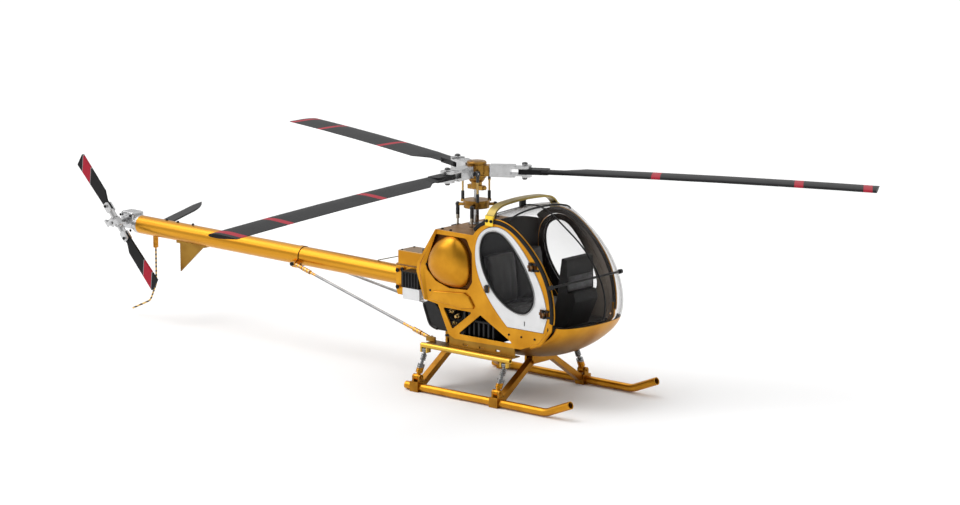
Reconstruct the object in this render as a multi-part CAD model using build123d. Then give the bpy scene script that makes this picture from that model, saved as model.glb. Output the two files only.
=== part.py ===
from build123d import *
import os
from math import acos, atan2, cos, degrees, hypot, pi, radians, sin, sqrt, tan

# Three-blade remote control helicopter with a bubble cabin and sprung skids.
# Millimetres. +X points to the nose, +Y to the left side, +Z up.
# The origin is on the ground, straight under the rotor mast.
os.makedirs("parts", exist_ok=True)

# ---------------------------------------------------------------- driving dimensions
ROTOR_RADIUS = 450.0
HUB_HEIGHT = 245.0
BLADE_BOLT_RADIUS = 54.5
BLADE_DROOP = 6.8
ARM_AZIMUTHS = (34.0, 154.0, 274.0)
BLADE_LAG = (-5.2, 4.6, 0.5)

PLATE_OUTER = 56.0          # outer face of each side plate, from the centre plane
PLATE_THICK = 2.0
PLATE_INNER = PLATE_OUTER - PLATE_THICK
CABIN_REAR = 46.0
GLASS_EDGE = 94.0           # height where the glass stops and the belly starts
SKIN = 1.8

SKID_TRACK = 76.4
SKID_RADIUS = 4.5
SKID_HEIGHT = 5.0
GEAR_STATIONS = (-22.0, 95.0)
LEG_PIVOT = (16.0, 43.0)    # distance from the centre plane, height
OLEO_TOP = (62.0, 45.0)
OLEO_FOOT = (75.5, 16.0)

BOOM_RADIUS = 11.25
BOOM_WALL = 1.0
BOOM_START = -75.0
BOOM_JOINT = -270.0
BOOM_END = -541.0
BOOM_HEIGHT_AT_MAST = 108.0
BOOM_RISE = 0.794           # degrees, tail end up
DRIVE_HEIGHT = 114.0
DRIVE_RISE = 0.637

TAIL_ROTOR_X = -557.6
TAIL_ROTOR_Y = -25.0
TAIL_ROTOR_RADIUS = 98.0
TAIL_BLADE_ANGLE = 131.7    # direction of the first tail blade, from +X towards +Z
TAIL_BOLT_RADIUS = 24.0

MAST_RADIUS = 3.0
SLIP = 0.05                 # radial clearance of a shaft in its bore
TOP_DECK = (181.5, 183.5)
GEAR_DECK = (124.0, 126.0)
CABIN_FLOOR = (85.0, 87.0)
KEEL = (62.5, 64.5)

MAIN_TEETH, MOTOR_TEETH = 72, 18
SPUR_MODULE = 0.8
GEAR_Z = (134.0, 140.0)
CROWN_TEETH, PINION_TEETH = 48, 12
TAIL_TEETH = 16
BEVEL_MODULE = 0.8
CROWN_LIFT = 0.8            # how far the crown gear stands back from full depth
TAIL_MODULE = 0.65
MOTOR_AZIMUTH = 45.0
MOTOR_REACH = (MAIN_TEETH + MOTOR_TEETH) * SPUR_MODULE / 2

SWASH_Z = 207.3             # face between the still ring and the turning ring
LINK_RADIAL, LINK_SIDE, LINK_Z = 13.2, 11.2, 243.0
PUSHROD_RADIUS = 22.0
PUSHROD_TOP = 205.4
PUSHROD_AZIMUTHS = (57.0, 205.0, 297.0)

HINGE_LOW = (146.2, 108.7)
HINGE_HIGH = (129.3, 158.9)
HINGE_OUT = 58.4            # hinge line's distance from the centre plane

TANK_INNER = 44.0           # inner end of each tank, from the centre plane
TANK_MIDDLE = (8.0, 149.0)
SILL_SCREWS = ((95, 78.3), (113, 78.2), (132.5, 78), (150.5, 92.5))
CLAMP_BOLTS = ((-105.6, 118.5), (-98, 120.4), (-105.6, 99))
STRUT_REAR = (-268.0, 16.2, 104.5)
STRUT_FRONT = (-27.0, 47.0, 55.0)

boom_frame = Location((0, 0, BOOM_HEIGHT_AT_MAST), (0, BOOM_RISE, 0))
drive_frame = Location((0, 0, DRIVE_HEIGHT), (0, DRIVE_RISE, 0))


# ---------------------------------------------------------------- small helpers
def save(shape, name):
    """Write one node."""
    shape.label = name
    export_step(shape, f"parts/{name}.step")


def group(*shapes):
    """Keep separate solids together in one node."""
    solids = []
    for shape in shapes:
        solids.extend(shape.solids())
    return Compound(children=solids)


def other_side(shape):
    """Mirror a right-hand piece to the left side."""
    return mirror(shape, about=Plane.XZ)


def block(x_range, y_range, z_range):
    """Box between two corners."""
    size = [abs(high - low) for low, high in (x_range, y_range, z_range)]
    centre = [(high + low) / 2 for low, high in (x_range, y_range, z_range)]
    return Pos(*centre) * Box(*size)


def rod(start, end, radius):
    """Round bar between two points."""
    start, end = Vector(*start), Vector(*end)
    plane = Plane(origin=start, z_dir=end - start)
    return extrude(plane * Circle(radius), amount=(end - start).length)


def tube(start, end, outer, inner):
    """Round bar with a bore all the way through."""
    return rod(start, end, outer) - rod(start, end, inner)


def side_slab(face, y_low, y_high):
    """Thicken an X-Z outline between two distances from the centre plane."""
    return Pos(0, y_high, 0) * extrude(Plane.XZ * face, amount=y_high - y_low, dir=(0, -1, 0))


def rounded_outline(points, radius):
    """Closed outline of straight sides with round corners."""
    return fillet(Polygon(*points, align=None).vertices(), radius)


def smooth_outline(points):
    """Closed smooth outline through a few points."""
    return make_face(Spline(*points, periodic=True))


def moved_out(points, gap):
    """The same points, each further from their middle by a gap."""
    middle_x = sum(x for x, z in points) / len(points)
    middle_z = sum(z for x, z in points) / len(points)
    moved = []
    for x, z in points:
        share = 1 + gap / hypot(x - middle_x, z - middle_z)
        moved.append((middle_x + (x - middle_x) * share, middle_z + (z - middle_z) * share))
    return moved


def polar(radius, angle):
    """X and Y of a point at an azimuth from the nose."""
    return radius * cos(radians(angle)), radius * sin(radians(angle))


# ---------------------------------------------------------------- gears
def gear_outline(teeth, module, backlash=0.16, tip=0.85):
    """Involute spur gear outline, 20 degree pressure angle."""
    pitch_radius = teeth * module / 2
    base_radius = pitch_radius * cos(radians(20))
    tip_radius = pitch_radius + tip * module
    root_radius = pitch_radius - 1.15 * module

    def involute_angle(radius):
        if radius <= base_radius:
            return 0.0
        pressure = acos(base_radius / radius)
        return tan(pressure) - pressure

    half_tooth = (pi * module / 2 - backlash) / 2 / pitch_radius + involute_angle(pitch_radius)
    start_radius = max(base_radius, root_radius)
    flank = [start_radius + (tip_radius - start_radius) * step / 3 for step in range(4)]
    points = []
    for tooth in range(teeth):
        middle = 2 * pi * tooth / teeth
        rising = [(radius, middle - half_tooth + involute_angle(radius)) for radius in flank]
        falling = [(radius, 2 * middle - angle) for radius, angle in reversed(rising)]
        rising.insert(0, (root_radius, middle - half_tooth))
        falling.append((root_radius, middle + half_tooth))
        points += [(radius * cos(angle), radius * sin(angle)) for radius, angle in rising + falling]
    return Polygon(*points, align=None)


def bevel_gear(teeth, mate_teeth, module, face_share=0.34):
    """Straight bevel gear on +Z with its apex at the origin and its heel below."""
    heel = mate_teeth * module / 2
    outline = gear_outline(teeth, module, backlash=0.3, tip=0.7)
    small = scale(outline, by=1 - face_share)
    sections = [Pos(0, 0, -heel) * outline, Pos(0, 0, -heel * (1 - face_share)) * small]
    return loft(sections, ruled=True)


def main_gear():
    """Spur gear driven by the motor, and the crown gear that drives the tail."""
    pitch = MAIN_TEETH * SPUR_MODULE / 2
    bore = Circle(MAST_RADIUS + SLIP)
    rim = extrude(gear_outline(MAIN_TEETH, SPUR_MODULE) - Circle(pitch - 4), amount=6)
    web = extrude(Circle(pitch - 3.5) - bore - PolarLocations(pitch * 0.55, 6) * Circle(4.5), amount=4)
    spur = Pos(0, 0, GEAR_Z[0]) * (rim + web)
    back_z = PINION_TEETH * BEVEL_MODULE / 2
    crown = Rot(180, 0, 0) * bevel_gear(CROWN_TEETH, PINION_TEETH, BEVEL_MODULE, 0.28)
    back = Pos(0, 0, back_z + 1.0) * Cylinder(CROWN_TEETH * BEVEL_MODULE / 2 - 1.2, 2.0)
    sleeve = Pos(0, 0, back_z + 2.7) * Cylinder(6.5, 1.4)
    crown = Pos(0, 0, DRIVE_HEIGHT + CROWN_LIFT) * (crown + back + sleeve - Cylinder(MAST_RADIUS + SLIP, 40))
    return group(spur, crown)


def motor_rotor():
    """Motor bell, shaft and pinion, which turn as one piece."""
    half_tooth = 180 / MOTOR_TEETH
    pinion = extrude(gear_outline(MOTOR_TEETH, SPUR_MODULE), amount=7)
    pinion = Pos(0, 0, GEAR_Z[0] - 0.5) * Rot(0, 0, MOTOR_AZIMUTH + 180 + half_tooth) * pinion
    bell = Pos(0, 0, 107) * fillet(Cylinder(13, 22).edges().filter_by(GeomType.CIRCLE), 1.5)
    vents = Pos(0, 0, 96) * PolarLocations(8.5, 6) * Cylinder(2.2, 6)
    shaft = rod((0, 0, 112), (0, 0, GEAR_Z[1] + 2), 1.6)
    return Rot(0, 0, MOTOR_AZIMUTH) * Pos(MOTOR_REACH, 0, 0) * Rot(0, 0, -MOTOR_AZIMUTH) * (
        bell - vents + shaft + pinion)


# ---------------------------------------------------------------- cabin surfaces
# Both outlines run from the top of the firewall over the roof and nose to the belly.
SIDE_LINE = [(CABIN_REAR, 189), (56, 200.5), (72, 205), (97, 201), (117, 188.5), (135, 172),
             (149, 152), (158, 128), (160.5, 105), (156, 88), (140, 74), (112, 66.5), (70, 64)]
CENTRE_LINE = [(CABIN_REAR, 197), (58, 207.5), (76, 214.5), (101, 212), (125, 197.5), (148, 181),
               (169, 159), (183, 133), (185.5, 107), (177, 86), (158, 66), (124, 51), (70, 47)]
CABIN_MIDDLE = (100.0, 125.0)
FIRST_BELLY_POINT = 9


def cabin_section(share, inset, half_width):
    """One X-Z slice of the cabin, at a share of the half width."""
    crown = 1 - share * share
    points = []
    for number, (side, centre) in enumerate(zip(SIDE_LINE, CENTRE_LINE)):
        blend = crown ** (0.42 if number <= FIRST_BELLY_POINT else 0.6)
        x = side[0] + (centre[0] - side[0]) * blend
        z = side[1] + (centre[1] - side[1]) * blend
        away = hypot(x - CABIN_MIDDLE[0], z - CABIN_MIDDLE[1])
        keep = 1 - inset / away
        points.append((CABIN_MIDDLE[0] + (x - CABIN_MIDDLE[0]) * keep,
                       CABIN_MIDDLE[1] + (z - CABIN_MIDDLE[1]) * keep))
    skin = Spline(*points)
    rear_x = CABIN_REAR - 2 - 10 * inset
    back = Polyline(points[-1], (rear_x, points[-1][1]), (rear_x, points[0][1]), points[0])
    return Pos(0, share * half_width, 0) * (Plane.XZ * make_face(skin + back))


def cabin_solid(inset=0.0, half_width=PLATE_INNER):
    """Solid bounded by the cabin's skin, moved inwards by an inset."""
    shares = (-1, -0.95, -0.84, -0.6, -0.3, 0, 0.3, 0.6, 0.84, 0.95, 1)
    return loft([cabin_section(share, inset, half_width) for share in shares])


cabin_outer = cabin_solid()
cabin_inner = cabin_solid(SKIN, PLATE_INNER * 1.005)
cabin_skin = cabin_outer - cabin_inner


def canopy():
    """Clear bubble: windscreen and roof in one piece."""
    glass = cabin_skin & block((CABIN_REAR, 200), (-60, 60), (GLASS_EDGE, 230))
    return glass - cross_rod_bar(0.4)


def belly_shell():
    """Moulded lower nose."""
    return cabin_skin & block((70, 200), (-60, 60), (30, GLASS_EDGE))


def cross_rod_bar(extra=0.0):
    return rod((159, -62, 140.5), (159, 62, 140.5), 1.4 + extra)


def cross_rod():
    """Bar that pins the canopy to the frame, with a round cap on each end."""
    caps = [Pos(159, side * 60.6, 140.5) * Rot(90, 0, 0) * Cylinder(2.6, 4) for side in (-1, 1)]
    return cross_rod_bar() + caps[0] + caps[1]


# ---------------------------------------------------------------- frame
def door_outline(gap=0.0):
    """Door panel, or the larger opening around it: round top and front, straight sill."""
    points = moved_out([(144, 87), (93, 87), (62, 120), (46.5, 157), (53, 186), (72, 196.3), (89, 194.4),
                        (105, 184), (121, 167), (135, 147), (146.5, 121), (149.5, 104)], gap)
    return make_face(Spline(*points[1:]) + Polyline(points[-1], points[0], points[1]))


def window_outline():
    """Egg-shaped window that leans forward."""
    return smooth_outline([(71, 191.3), (56, 181), (53.5, 162), (63, 137), (79, 118), (99, 106.5),
                           (119, 105), (131, 118), (126, 142), (113, 163), (95, 183)])


def tank_outline(share, depth):
    """Egg-shaped slice of a fuel tank, shrunk about its middle, at a depth from the centre plane."""
    middle_x, middle_z = TANK_MIDDLE
    points = [(middle_x + x * share, middle_z + z * share)
              for x, z in ((0, 27.8), (-15, 22), (-26, 9), (-30, -5), (-24, -16.5), (-11, -24), (6, -26.5),
                           (21, -24.5), (28, -16), (29.5, -2), (25, 15), (14, 25.5))]
    return Pos(0, -depth, 0) * (Plane.XZ * smooth_outline(points))


def side_frame_outline():
    """Rear cowl, door surround and lower frame rail in one sheet."""
    front = Spline((43, 184), (54, 194.6), (72, 200), (94, 196.5), (113, 184.5), (130, 168),
                   (143.5, 149), (152, 126), (154, 105))
    lower = Polyline((154, 105), (153, 91), (138.5, 73.5), (112, 64), (16, 62.2), (7, 66),
                     (-9, 98.5), (-30, 101.5), (-41, 132), (-40, 142), (-13, TOP_DECK[1]),
                     (43, TOP_DECK[1]), (43, 184))
    return make_face(front + lower)


def side_plate():
    """Right-hand side plate, with the door, tank and strut openings."""
    plate = side_frame_outline()
    plate -= door_outline(0.7)
    plate -= rounded_outline([(-13, 178.5), (33, 178.5), (41, 163), (41.5, 130), (35, 120.5),
                              (8, 119), (-12, 124.5), (-25, 136), (-28, 144)], 5)
    plate -= rounded_outline([(-1, 96), (42, 96), (12.5, 73)], 1.2)
    plate -= rounded_outline([(53.5, 94.5), (21, 68.5), (102, 68.5)], 1.2)
    plate = side_slab(plate, -PLATE_OUTER, -PLATE_INNER)
    for x, z in SILL_SCREWS:
        plate -= Pos(x, -PLATE_OUTER, z) * Rot(90, 0, 0) * Cylinder(1.05, 8)
    return plate


def frame_panels():
    """Firewall, cabin floor and keel plate, three flat panels between the side plates."""
    inner = PLATE_INNER
    floor_z = CABIN_FLOOR[0]
    arch = Polyline((-inner, 188.5), (-inner, floor_z), (inner, floor_z), (inner, 188.5))
    arch += ThreePointArc((inner, 188.5), (0, 196), (-inner, 188.5))
    wall = Pos(CABIN_REAR - 2, 0, 0) * extrude(Plane.YZ * make_face(arch), amount=2)
    floor = block((CABIN_REAR, 147), (-inner, inner), CABIN_FLOOR)
    keel = block((0, 69.5), (-inner, inner), KEEL) + block((-28, 0), (-30, 30), KEEL)
    return group(wall, floor, keel)


def mast_decks():
    """Top deck and gear deck, which carry the mast bearings."""
    inner = PLATE_INNER
    top = block((-13, CABIN_REAR - 2), (-inner, inner), TOP_DECK)
    for angle in PUSHROD_AZIMUTHS:
        top -= Pos(*polar(PUSHROD_RADIUS, angle), 182) * Cylinder(3.2, 10)
    gear = block((-38, CABIN_REAR - 2), (-TANK_INNER, TANK_INNER), GEAR_DECK)
    gear += block((-38, -24), (-inner, inner), GEAR_DECK)
    gear += block((-110, -30), (-13, 13), GEAR_DECK)
    gear -= Pos(*polar(MOTOR_REACH, MOTOR_AZIMUTH), 125) * Cylinder(1.6 + SLIP, 10)
    return group(top - Cylinder(7, 500), gear - Cylinder(7, 500))


def shaft_bearings():
    """Flanged mast bearings and the tail shaft's bearings."""
    parts = []
    for low, high in (TOP_DECK, GEAR_DECK):
        race = rod((0, 0, low - 0.5), (0, 0, high + 1.2), 6.95) + rod((0, 0, high), (0, 0, high + 1.2), 9)
        parts.append(race - Cylinder(MAST_RADIUS + SLIP, 500))
    for x in (-150, -340, -530):
        ring = boom_frame * rod((x - 2.5, 0, 0), (x + 2.5, 0, 0), BOOM_RADIUS - BOOM_WALL)
        parts.append(ring - drive_frame * rod((x - 20, 0, 0), (x + 20, 0, 0), 2 + SLIP))
    return group(*parts)


def tank_egg(inset):
    """Right tank as a solid, moved inwards by an inset: straight neck and domed end."""
    size = 1 - inset / 27
    slices = [tank_outline(size, TANK_INNER + inset)]
    for turn in (0, 18, 36, 54, 70, 82):
        slices.append(tank_outline(size * cos(radians(turn)), 54 + (15 - inset) * sin(radians(turn))))
    return loft(slices, ruled=True)


def fuel_tanks():
    """Two hollow egg-shaped tanks, one on each side."""
    tank = tank_egg(0) - tank_egg(2)
    return group(tank, other_side(tank))


def seat_bench():
    """Padded bench for the crew, seat and back in one soft piece."""
    outline = rounded_outline([(46, 87), (104, 87), (107, 104), (101, 108), (72, 105), (64, 150),
                               (58, 162), (46, 160)], 3)
    return side_slab(outline, -46, 46)


def instrument_console():
    """Pedestal with the instrument panel on top."""
    base = side_slab(rounded_outline([(126, 87), (146, 87), (160, 118), (157, 128), (136, 128)], 2),
                     -20, 20)
    panel = side_slab(rounded_outline([(137, 127), (151, 127), (150, 164), (143, 166)], 1.5), -23, 23)
    return base + panel


def battery_pack():
    return fillet(block((74, 128), (-17, 17), (66, 85)).edges(), 2)


def engine_fins():
    """Right-hand block of black cooling fins on its base plate."""
    low = KEEL[1]
    fins = block((24, 69.5), (-51, -24), (low, low + 2))
    for step in range(7):
        x = 25 + 7 * step
        top = 95 if x < CABIN_REAR - 4 else CABIN_FLOOR[0]
        fins += block((x, x + 2.4), (-51, -24), (low, top))
    return fins


def cooling_shroud():
    """Curved scoop behind the engine."""
    low = KEEL[1]
    outline = Polygon((-46, 92), (-38, 96), (-34, 80), (-24, 70), (-4, low + 3), (-4, low), (-27, low),
                      (-38, 75), align=None)
    rib = Polygon((-38, 96), (-31, 98), (-4, low + 5.5), (-4, low + 3), (-24, 70), (-34, 80), align=None)
    shroud = side_slab(outline, -40, 40)
    return shroud + side_slab(rib, -40, -37.6) + side_slab(rib, 37.6, 40)


def engine_cooling():
    """Block of cooling fins on each side and the scoop behind them."""
    fins = engine_fins()
    return group(fins, other_side(fins), cooling_shroud())


def receiver_box():
    """Box for the receiver on the rear deck, with a round switch on its lid and a wire aerial."""
    box = block((-106, -44), (-14, 14), (GEAR_DECK[1], 142))
    box -= block((-104.4, -45.6), (-12.4, 12.4), (GEAR_DECK[1] - 1, 140.4))
    knob = Pos(-72, 0, 143.5) * Cylinder(7, 3)
    aerial = rod((-105, 0, 134.3), (-150, 0, 121.95), 0.55)
    return chamfer(box.edges().group_by(Axis.Z)[-1], 0.6) + knob + aerial


def servos():
    """Three upright linear servos that move the pushrods, and the tail servo."""
    parts = []
    for angle in PUSHROD_AZIMUTHS:
        x, y = polar(PUSHROD_RADIUS, angle)
        body = block((x - 4.5, x + 4.5), (y - 6, y + 6), (160, TOP_DECK[0]))
        if x < -13:
            body += block((x, -10.5), (y - 4, y + 4), (TOP_DECK[0] - 2.5, TOP_DECK[0]))
        parts.append(body - Pos(x, y, 175) * Cylinder(1.3 + SLIP, 60))
    tail = block((-88, -62), (-29, -14), (103.2, 122)) + block((-92, -58), (-24, -18), (113, 115))
    parts.append(tail)
    return group(*parts)


def muffler():
    """Silver exhaust box under the tail servo."""
    box = fillet(block((-86, -60.5), (-29, -14.3), (90, 103.2)).edges().filter_by(Axis.Y), 1.5)
    pipe = rod((-61, -21, 95), (-49, -21, 92), 3.4)
    return box + pipe - rod((-59, -21, 94.5), (-48, -21, 91.75), 2.6)


def boom_clamps():
    """Two cheek plates and the saddle that holds the front of the boom between them."""
    outline = rounded_outline([(-109.5, 124), (-109.5, 97), (-107, 90), (-100.5, 90), (-98, 95.5),
                               (-60, 95.5), (-38, 104), (-38, 124)], 1.5)
    cheek = side_slab(outline, -14, -BOOM_RADIUS - 0.1)
    for x, z in CLAMP_BOLTS:
        cheek += Pos(x, -14.9, z) * Rot(90, 0, 0) * Cylinder(2.3, 1.8)
    saddle = block((-109, -78), (-12, 12), (96, 123.5))
    saddle -= boom_frame * rod((-140, 0, 0), (-60, 0, 0), BOOM_RADIUS)
    return cheek + other_side(cheek) + saddle


def boom_tube():
    """Tail boom in one tube, with a collar where its halves join."""
    boom = tube((BOOM_END, 0, 0), (BOOM_START, 0, 0), BOOM_RADIUS, BOOM_RADIUS - BOOM_WALL)
    collar = tube((BOOM_JOINT - 3, 0, 0), (BOOM_JOINT + 3, 0, 0), BOOM_RADIUS + 0.6, BOOM_RADIUS - 0.3)
    for side in (-1, 1):
        collar += block((BOOM_JOINT - 4, BOOM_JOINT + 4), (side * 9, side * 14.5), (-12, -4))
    collar -= rod((BOOM_JOINT - 9, 0, 0), (BOOM_JOINT + 9, 0, 0), BOOM_RADIUS - 0.3)
    return boom_frame * (boom + collar)


def boom_struts():
    """Brace rods from the step boards to the boom, with a turnbuckle at each end."""
    start, end = Vector(*STRUT_REAR), Vector(*STRUT_FRONT)
    along = (end - start).normalized()
    strut = rod(start, end, 1.6)
    for centre, sign in ((start, 1), (end, -1)):
        for near, far, radius in ((4.5, 15, 2.3), (17, 30, 2.6)):
            strut += rod(centre + along * sign * near, centre + along * sign * far, radius)
        strut += Pos(*centre) * Rot(90, 0, 0) * Cylinder(3.0, 3.4)
    return group(strut, other_side(strut))


def stabiliser():
    """Tailplane blade on the left of the boom, angled up."""
    outline = Polyline((8, -3), (-9, -3), (-7, 62), (-4, 74))
    outline += ThreePointArc((-4, 74), (4, 63), (8, 44))
    outline += Line((8, 44), (8, -3))
    blade = Pos(0, 0, -0.9) * extrude(make_face(outline), amount=1.8)
    blade = Pos(-516, 11.0, 2.5) * Rot(13, 0, 0) * blade
    return boom_frame * (blade - rod((-540, 0, 0), (-490, 0, 0), BOOM_RADIUS))


def ventral_fin():
    """Three-cornered fin under the boom, with a foot that follows the tube."""
    fin = side_slab(Polygon((-474, -8.5), (-473, -49), (-430, -10), align=None), -0.9, 0.9)
    foot = block((-476, -428), (-5, 5), (-13, -8))
    bore = rod((-480, 0, 0), (-420, 0, 0), BOOM_RADIUS)
    return boom_frame * (fin + foot - bore)


def tail_skid():
    """Socket under the boom and the bent wire that keeps the tail rotor off the ground."""
    wire_path = FilletPolyline((-517, 0, 100), (-517, 0, 45), (-528, 0, 22), (-559, 0, 8), radius=14)
    wire = sweep(Plane(origin=(-517, 0, 100), z_dir=(0, 0, -1)) * Circle(1.1), path=wire_path)
    socket = rod((-517, 0, 90), (-517, 0, 109), 3.2)
    return socket + wire - boom_frame * rod((-560, 0, 0), (-480, 0, 0), BOOM_RADIUS)


# ---------------------------------------------------------------- tail rotor
def tail_gearbox():
    """Housing of the bevel pair, with the flange that closes the boom."""
    apex = Pos(TAIL_ROTOR_X, 0, 0)
    housing = apex * fillet(Box(22, 20, 21).edges(), 3)
    neck = rod((TAIL_ROTOR_X, -15, 0), (TAIL_ROTOR_X, 0, 0), 5.5)
    cavity = apex * Box(15.5, 15.5, 15.5)
    shaft_hole = rod((TAIL_ROTOR_X, 0, 0), (TAIL_ROTOR_X + 40, 0, 0), 2 + SLIP)
    output_hole = rod((TAIL_ROTOR_X, -40, 0), (TAIL_ROTOR_X, 0, 0), 2 + SLIP)
    flange = boom_frame * rod((BOOM_END - 6, 0, 0), (BOOM_END - 0.05, 0, 0), BOOM_RADIUS)
    return drive_frame * (housing + neck) + flange - drive_frame * (cavity + shaft_hole + output_hole)


def tail_shaft():
    """Torque tube in the boom with a bevel gear at each end."""
    front = Rot(0, 90, 0) * Rot(0, 0, 180 / PINION_TEETH)
    front = front * bevel_gear(PINION_TEETH, CROWN_TEETH, BEVEL_MODULE, 0.28)
    rear = Pos(TAIL_ROTOR_X, 0, 0) * Rot(0, -90, 0)
    rear = rear * bevel_gear(TAIL_TEETH, TAIL_TEETH, TAIL_MODULE)
    front_heel = -CROWN_TEETH * BEVEL_MODULE / 2
    rear_heel = TAIL_ROTOR_X + TAIL_TEETH * TAIL_MODULE / 2
    shaft = rod((rear_heel - 0.5, 0, 0), (front_heel + 0.5, 0, 0), 2)
    return drive_frame * (shaft + front + rear)


def tail_blade_frame():
    """Local frame at the tail rotor's centre, +X along the first blade."""
    centre = drive_frame * Location((TAIL_ROTOR_X, TAIL_ROTOR_Y, 0))
    return Pos(*centre.position) * Rot(0, -TAIL_BLADE_ANGLE, 0)


def tail_rotor_hub():
    """Output shaft, its bevel gear, the hub block and the blade spindles."""
    gear = Rot(-90, 0, 0) * Rot(0, 0, 180 / TAIL_TEETH) * bevel_gear(TAIL_TEETH, TAIL_TEETH, TAIL_MODULE)
    heel = -TAIL_TEETH * TAIL_MODULE / 2
    shaft = rod((0, heel + 0.5, 0), (0, TAIL_ROTOR_Y - 12, 0), 2)
    turning = drive_frame * Pos(TAIL_ROTOR_X, 0, 0) * (gear + shaft)
    hub = fillet(Box(11, 8, 8).edges(), 1) + rod((-14, 0, 0), (14, 0, 0), 1.6)
    return turning + tail_blade_frame() * hub


def tail_blade_grip():
    """Twin-plate grip with its blade bolt and pitch arm."""
    grip = rod((6, 0, 0), (17, 0, 0), 3.8)
    for side in (-1, 1):
        ear = Pos(21.5, side * 2.9, 0) * Box(13, 2.2, 8)
        grip += fillet(ear.edges().filter_by(Axis.Y), 2)
    grip += block((6.2, 9.2), (-3, 0), (2.5, 9)) + Pos(7.7, -3.2, 7.6) * Sphere(1.5)
    grip -= rod((5, 0, 0), (15, 0, 0), 1.6 + SLIP)
    bolt = rod((TAIL_BOLT_RADIUS, -5.4, 0), (TAIL_BOLT_RADIUS, 5, 0), 1.0)
    head = rod((TAIL_BOLT_RADIUS, -5.4, 0), (TAIL_BOLT_RADIUS, -3.9, 0), 1.9)
    return grip + bolt + head


def tail_blade():
    """Flat paddle blade with a stepped root and a slanted tip."""
    outline = Polygon((18.5, 3.4), (19, -3.4), (30, -3.4), (41, -8.6), (TAIL_ROTOR_RADIUS, -7.6),
                      (TAIL_ROTOR_RADIUS - 5, 8.8), (27, 5), align=None)
    blade = side_slab(fillet(outline.vertices(), 1.2), -1.4, 1.4)
    return blade - rod((TAIL_BOLT_RADIUS, -9, 0), (TAIL_BOLT_RADIUS, 9, 0), 1.0 + SLIP)


def tail_pitch_slider():
    """Collar on the output shaft with two arms that turn the grips."""
    collar = rod((0, -10.5, 0), (0, -7.5, 0), 4.2)
    for turn in (0, 180):
        arm = block((4, 9.2), (-10.5, -8.6), (6.2, 9)) + block((0, 5), (-10.5, -8.6), (-2, 9))
        pad = rod((7.7, -9.6, 7.6), (7.7, -5.2, 7.6), 1.2)
        collar += Rot(0, turn, 0) * (arm + pad)
    return tail_blade_frame() * (collar - rod((0, -20, 0), (0, 20, 0), 2 + SLIP))


# ---------------------------------------------------------------- rotor head
def rotor_mast():
    return rod((0, 0, 116), (0, 0, HUB_HEIGHT + 9), MAST_RADIUS)


def rotor_hub():
    """Finned hub block with a spindle for each blade and the follower yoke below."""
    profile = [(MAST_RADIUS + SLIP, -13), (7.5, -13), (9.5, -10), (9.5, -8), (11.3, -8), (11.3, 9),
               (10.2, 10.4), (MAST_RADIUS + SLIP, 10.4)]
    hub = revolve(Plane.XZ * Polygon(*profile, align=None), Axis.Z)
    for level in (-4.6, -7.4, 7.4):
        hub -= Pos(0, 0, level) * (Cylinder(12, 1.1) - Cylinder(9.8, 2))
    cap = Pos(0, 0, 10.3) * Cylinder(7, 1)
    yoke = Pos(0, 0, -16.7) * Cylinder(6.2, 7.6) + block((-11, 11), (-3, 3), (-22, -17))
    yoke += Pos(11.8, 0, -19.5) * Rot(0, 90, 0) * Cylinder(2.2, 2.4)
    hub = hub + cap + yoke
    for angle in ARM_AZIMUTHS:
        hub += Rot(0, 0, angle) * (block((7, 14.5), (-6, 6), (-6, 6)) + rod((10, 0, 0), (34, 0, 0), 2.5))
    bore = Pos(0, 0, -10.9) * Cylinder(MAST_RADIUS + SLIP, 40)
    return Pos(0, 0, HUB_HEIGHT) * (hub - bore)


def blade_grip():
    """Forked grip along +X, with its blade bolt, pitch arm and ball."""
    outline = Polyline((15.5, -7), (31, -7.4), (38, -8), (BLADE_BOLT_RADIUS, -8))
    outline += ThreePointArc((BLADE_BOLT_RADIUS, -8), (BLADE_BOLT_RADIUS + 8, 0), (BLADE_BOLT_RADIUS, 8))
    outline += Polyline((BLADE_BOLT_RADIUS, 8), (38, 8), (31, 7.4), (15.5, 7), (15.5, -7))
    grip = Pos(0, 0, -6.5) * extrude(make_face(outline), amount=13)
    grip -= block((39, 70), (-12, 12), (-3, 3))
    grip -= block((44, 52), (-12, 12), (4.9, 8)) + block((44, 52), (-12, 12), (-8, -4.9))
    grip -= rod((12, 0, 0), (34.4, 0, 0), 2.5 + SLIP)
    arm = block((15.5, 20), (5, 9.2), (-4, 1)) + block((LINK_RADIAL - 2, 17), (7.5, 9.2), (-4, 1))
    arm += rod((LINK_RADIAL, 9, -2), (LINK_RADIAL, LINK_SIDE, -2), 0.9)
    ball = Pos(LINK_RADIAL, LINK_SIDE, LINK_Z - HUB_HEIGHT) * Sphere(1.7)
    bolt = Pos(BLADE_BOLT_RADIUS, 0, 0) * (Cylinder(1.5, 17.6) + Pos(0, 0, 7.9) * Cylinder(3.1, 2.6)
                                            + Pos(0, 0, -8) * Cylinder(2.6, 3))
    return grip + arm + ball + bolt


def blade_section(x, front, rear, thick, drop):
    """Symmetrical wing section of a main blade, looking along it."""
    chord = rear - front
    upper = [(front, 0)]
    for share in (0.03, 0.12, 0.3, 0.6, 1.0):
        bulge = 1.4845 * sqrt(share) - 0.63 * share - 1.758 * share ** 2 + 1.4215 * share ** 3
        half = max(0.3, thick * (bulge - 0.5075 * share ** 4))
        upper.append((front + share * chord, half))
    lower = [(y, -z) for y, z in upper]
    outline = make_face(Spline(*upper) + Spline(*lower) + Line(upper[-1], lower[-1]))
    return Pos(x, 0, -drop) * (Plane.YZ * outline)


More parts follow.
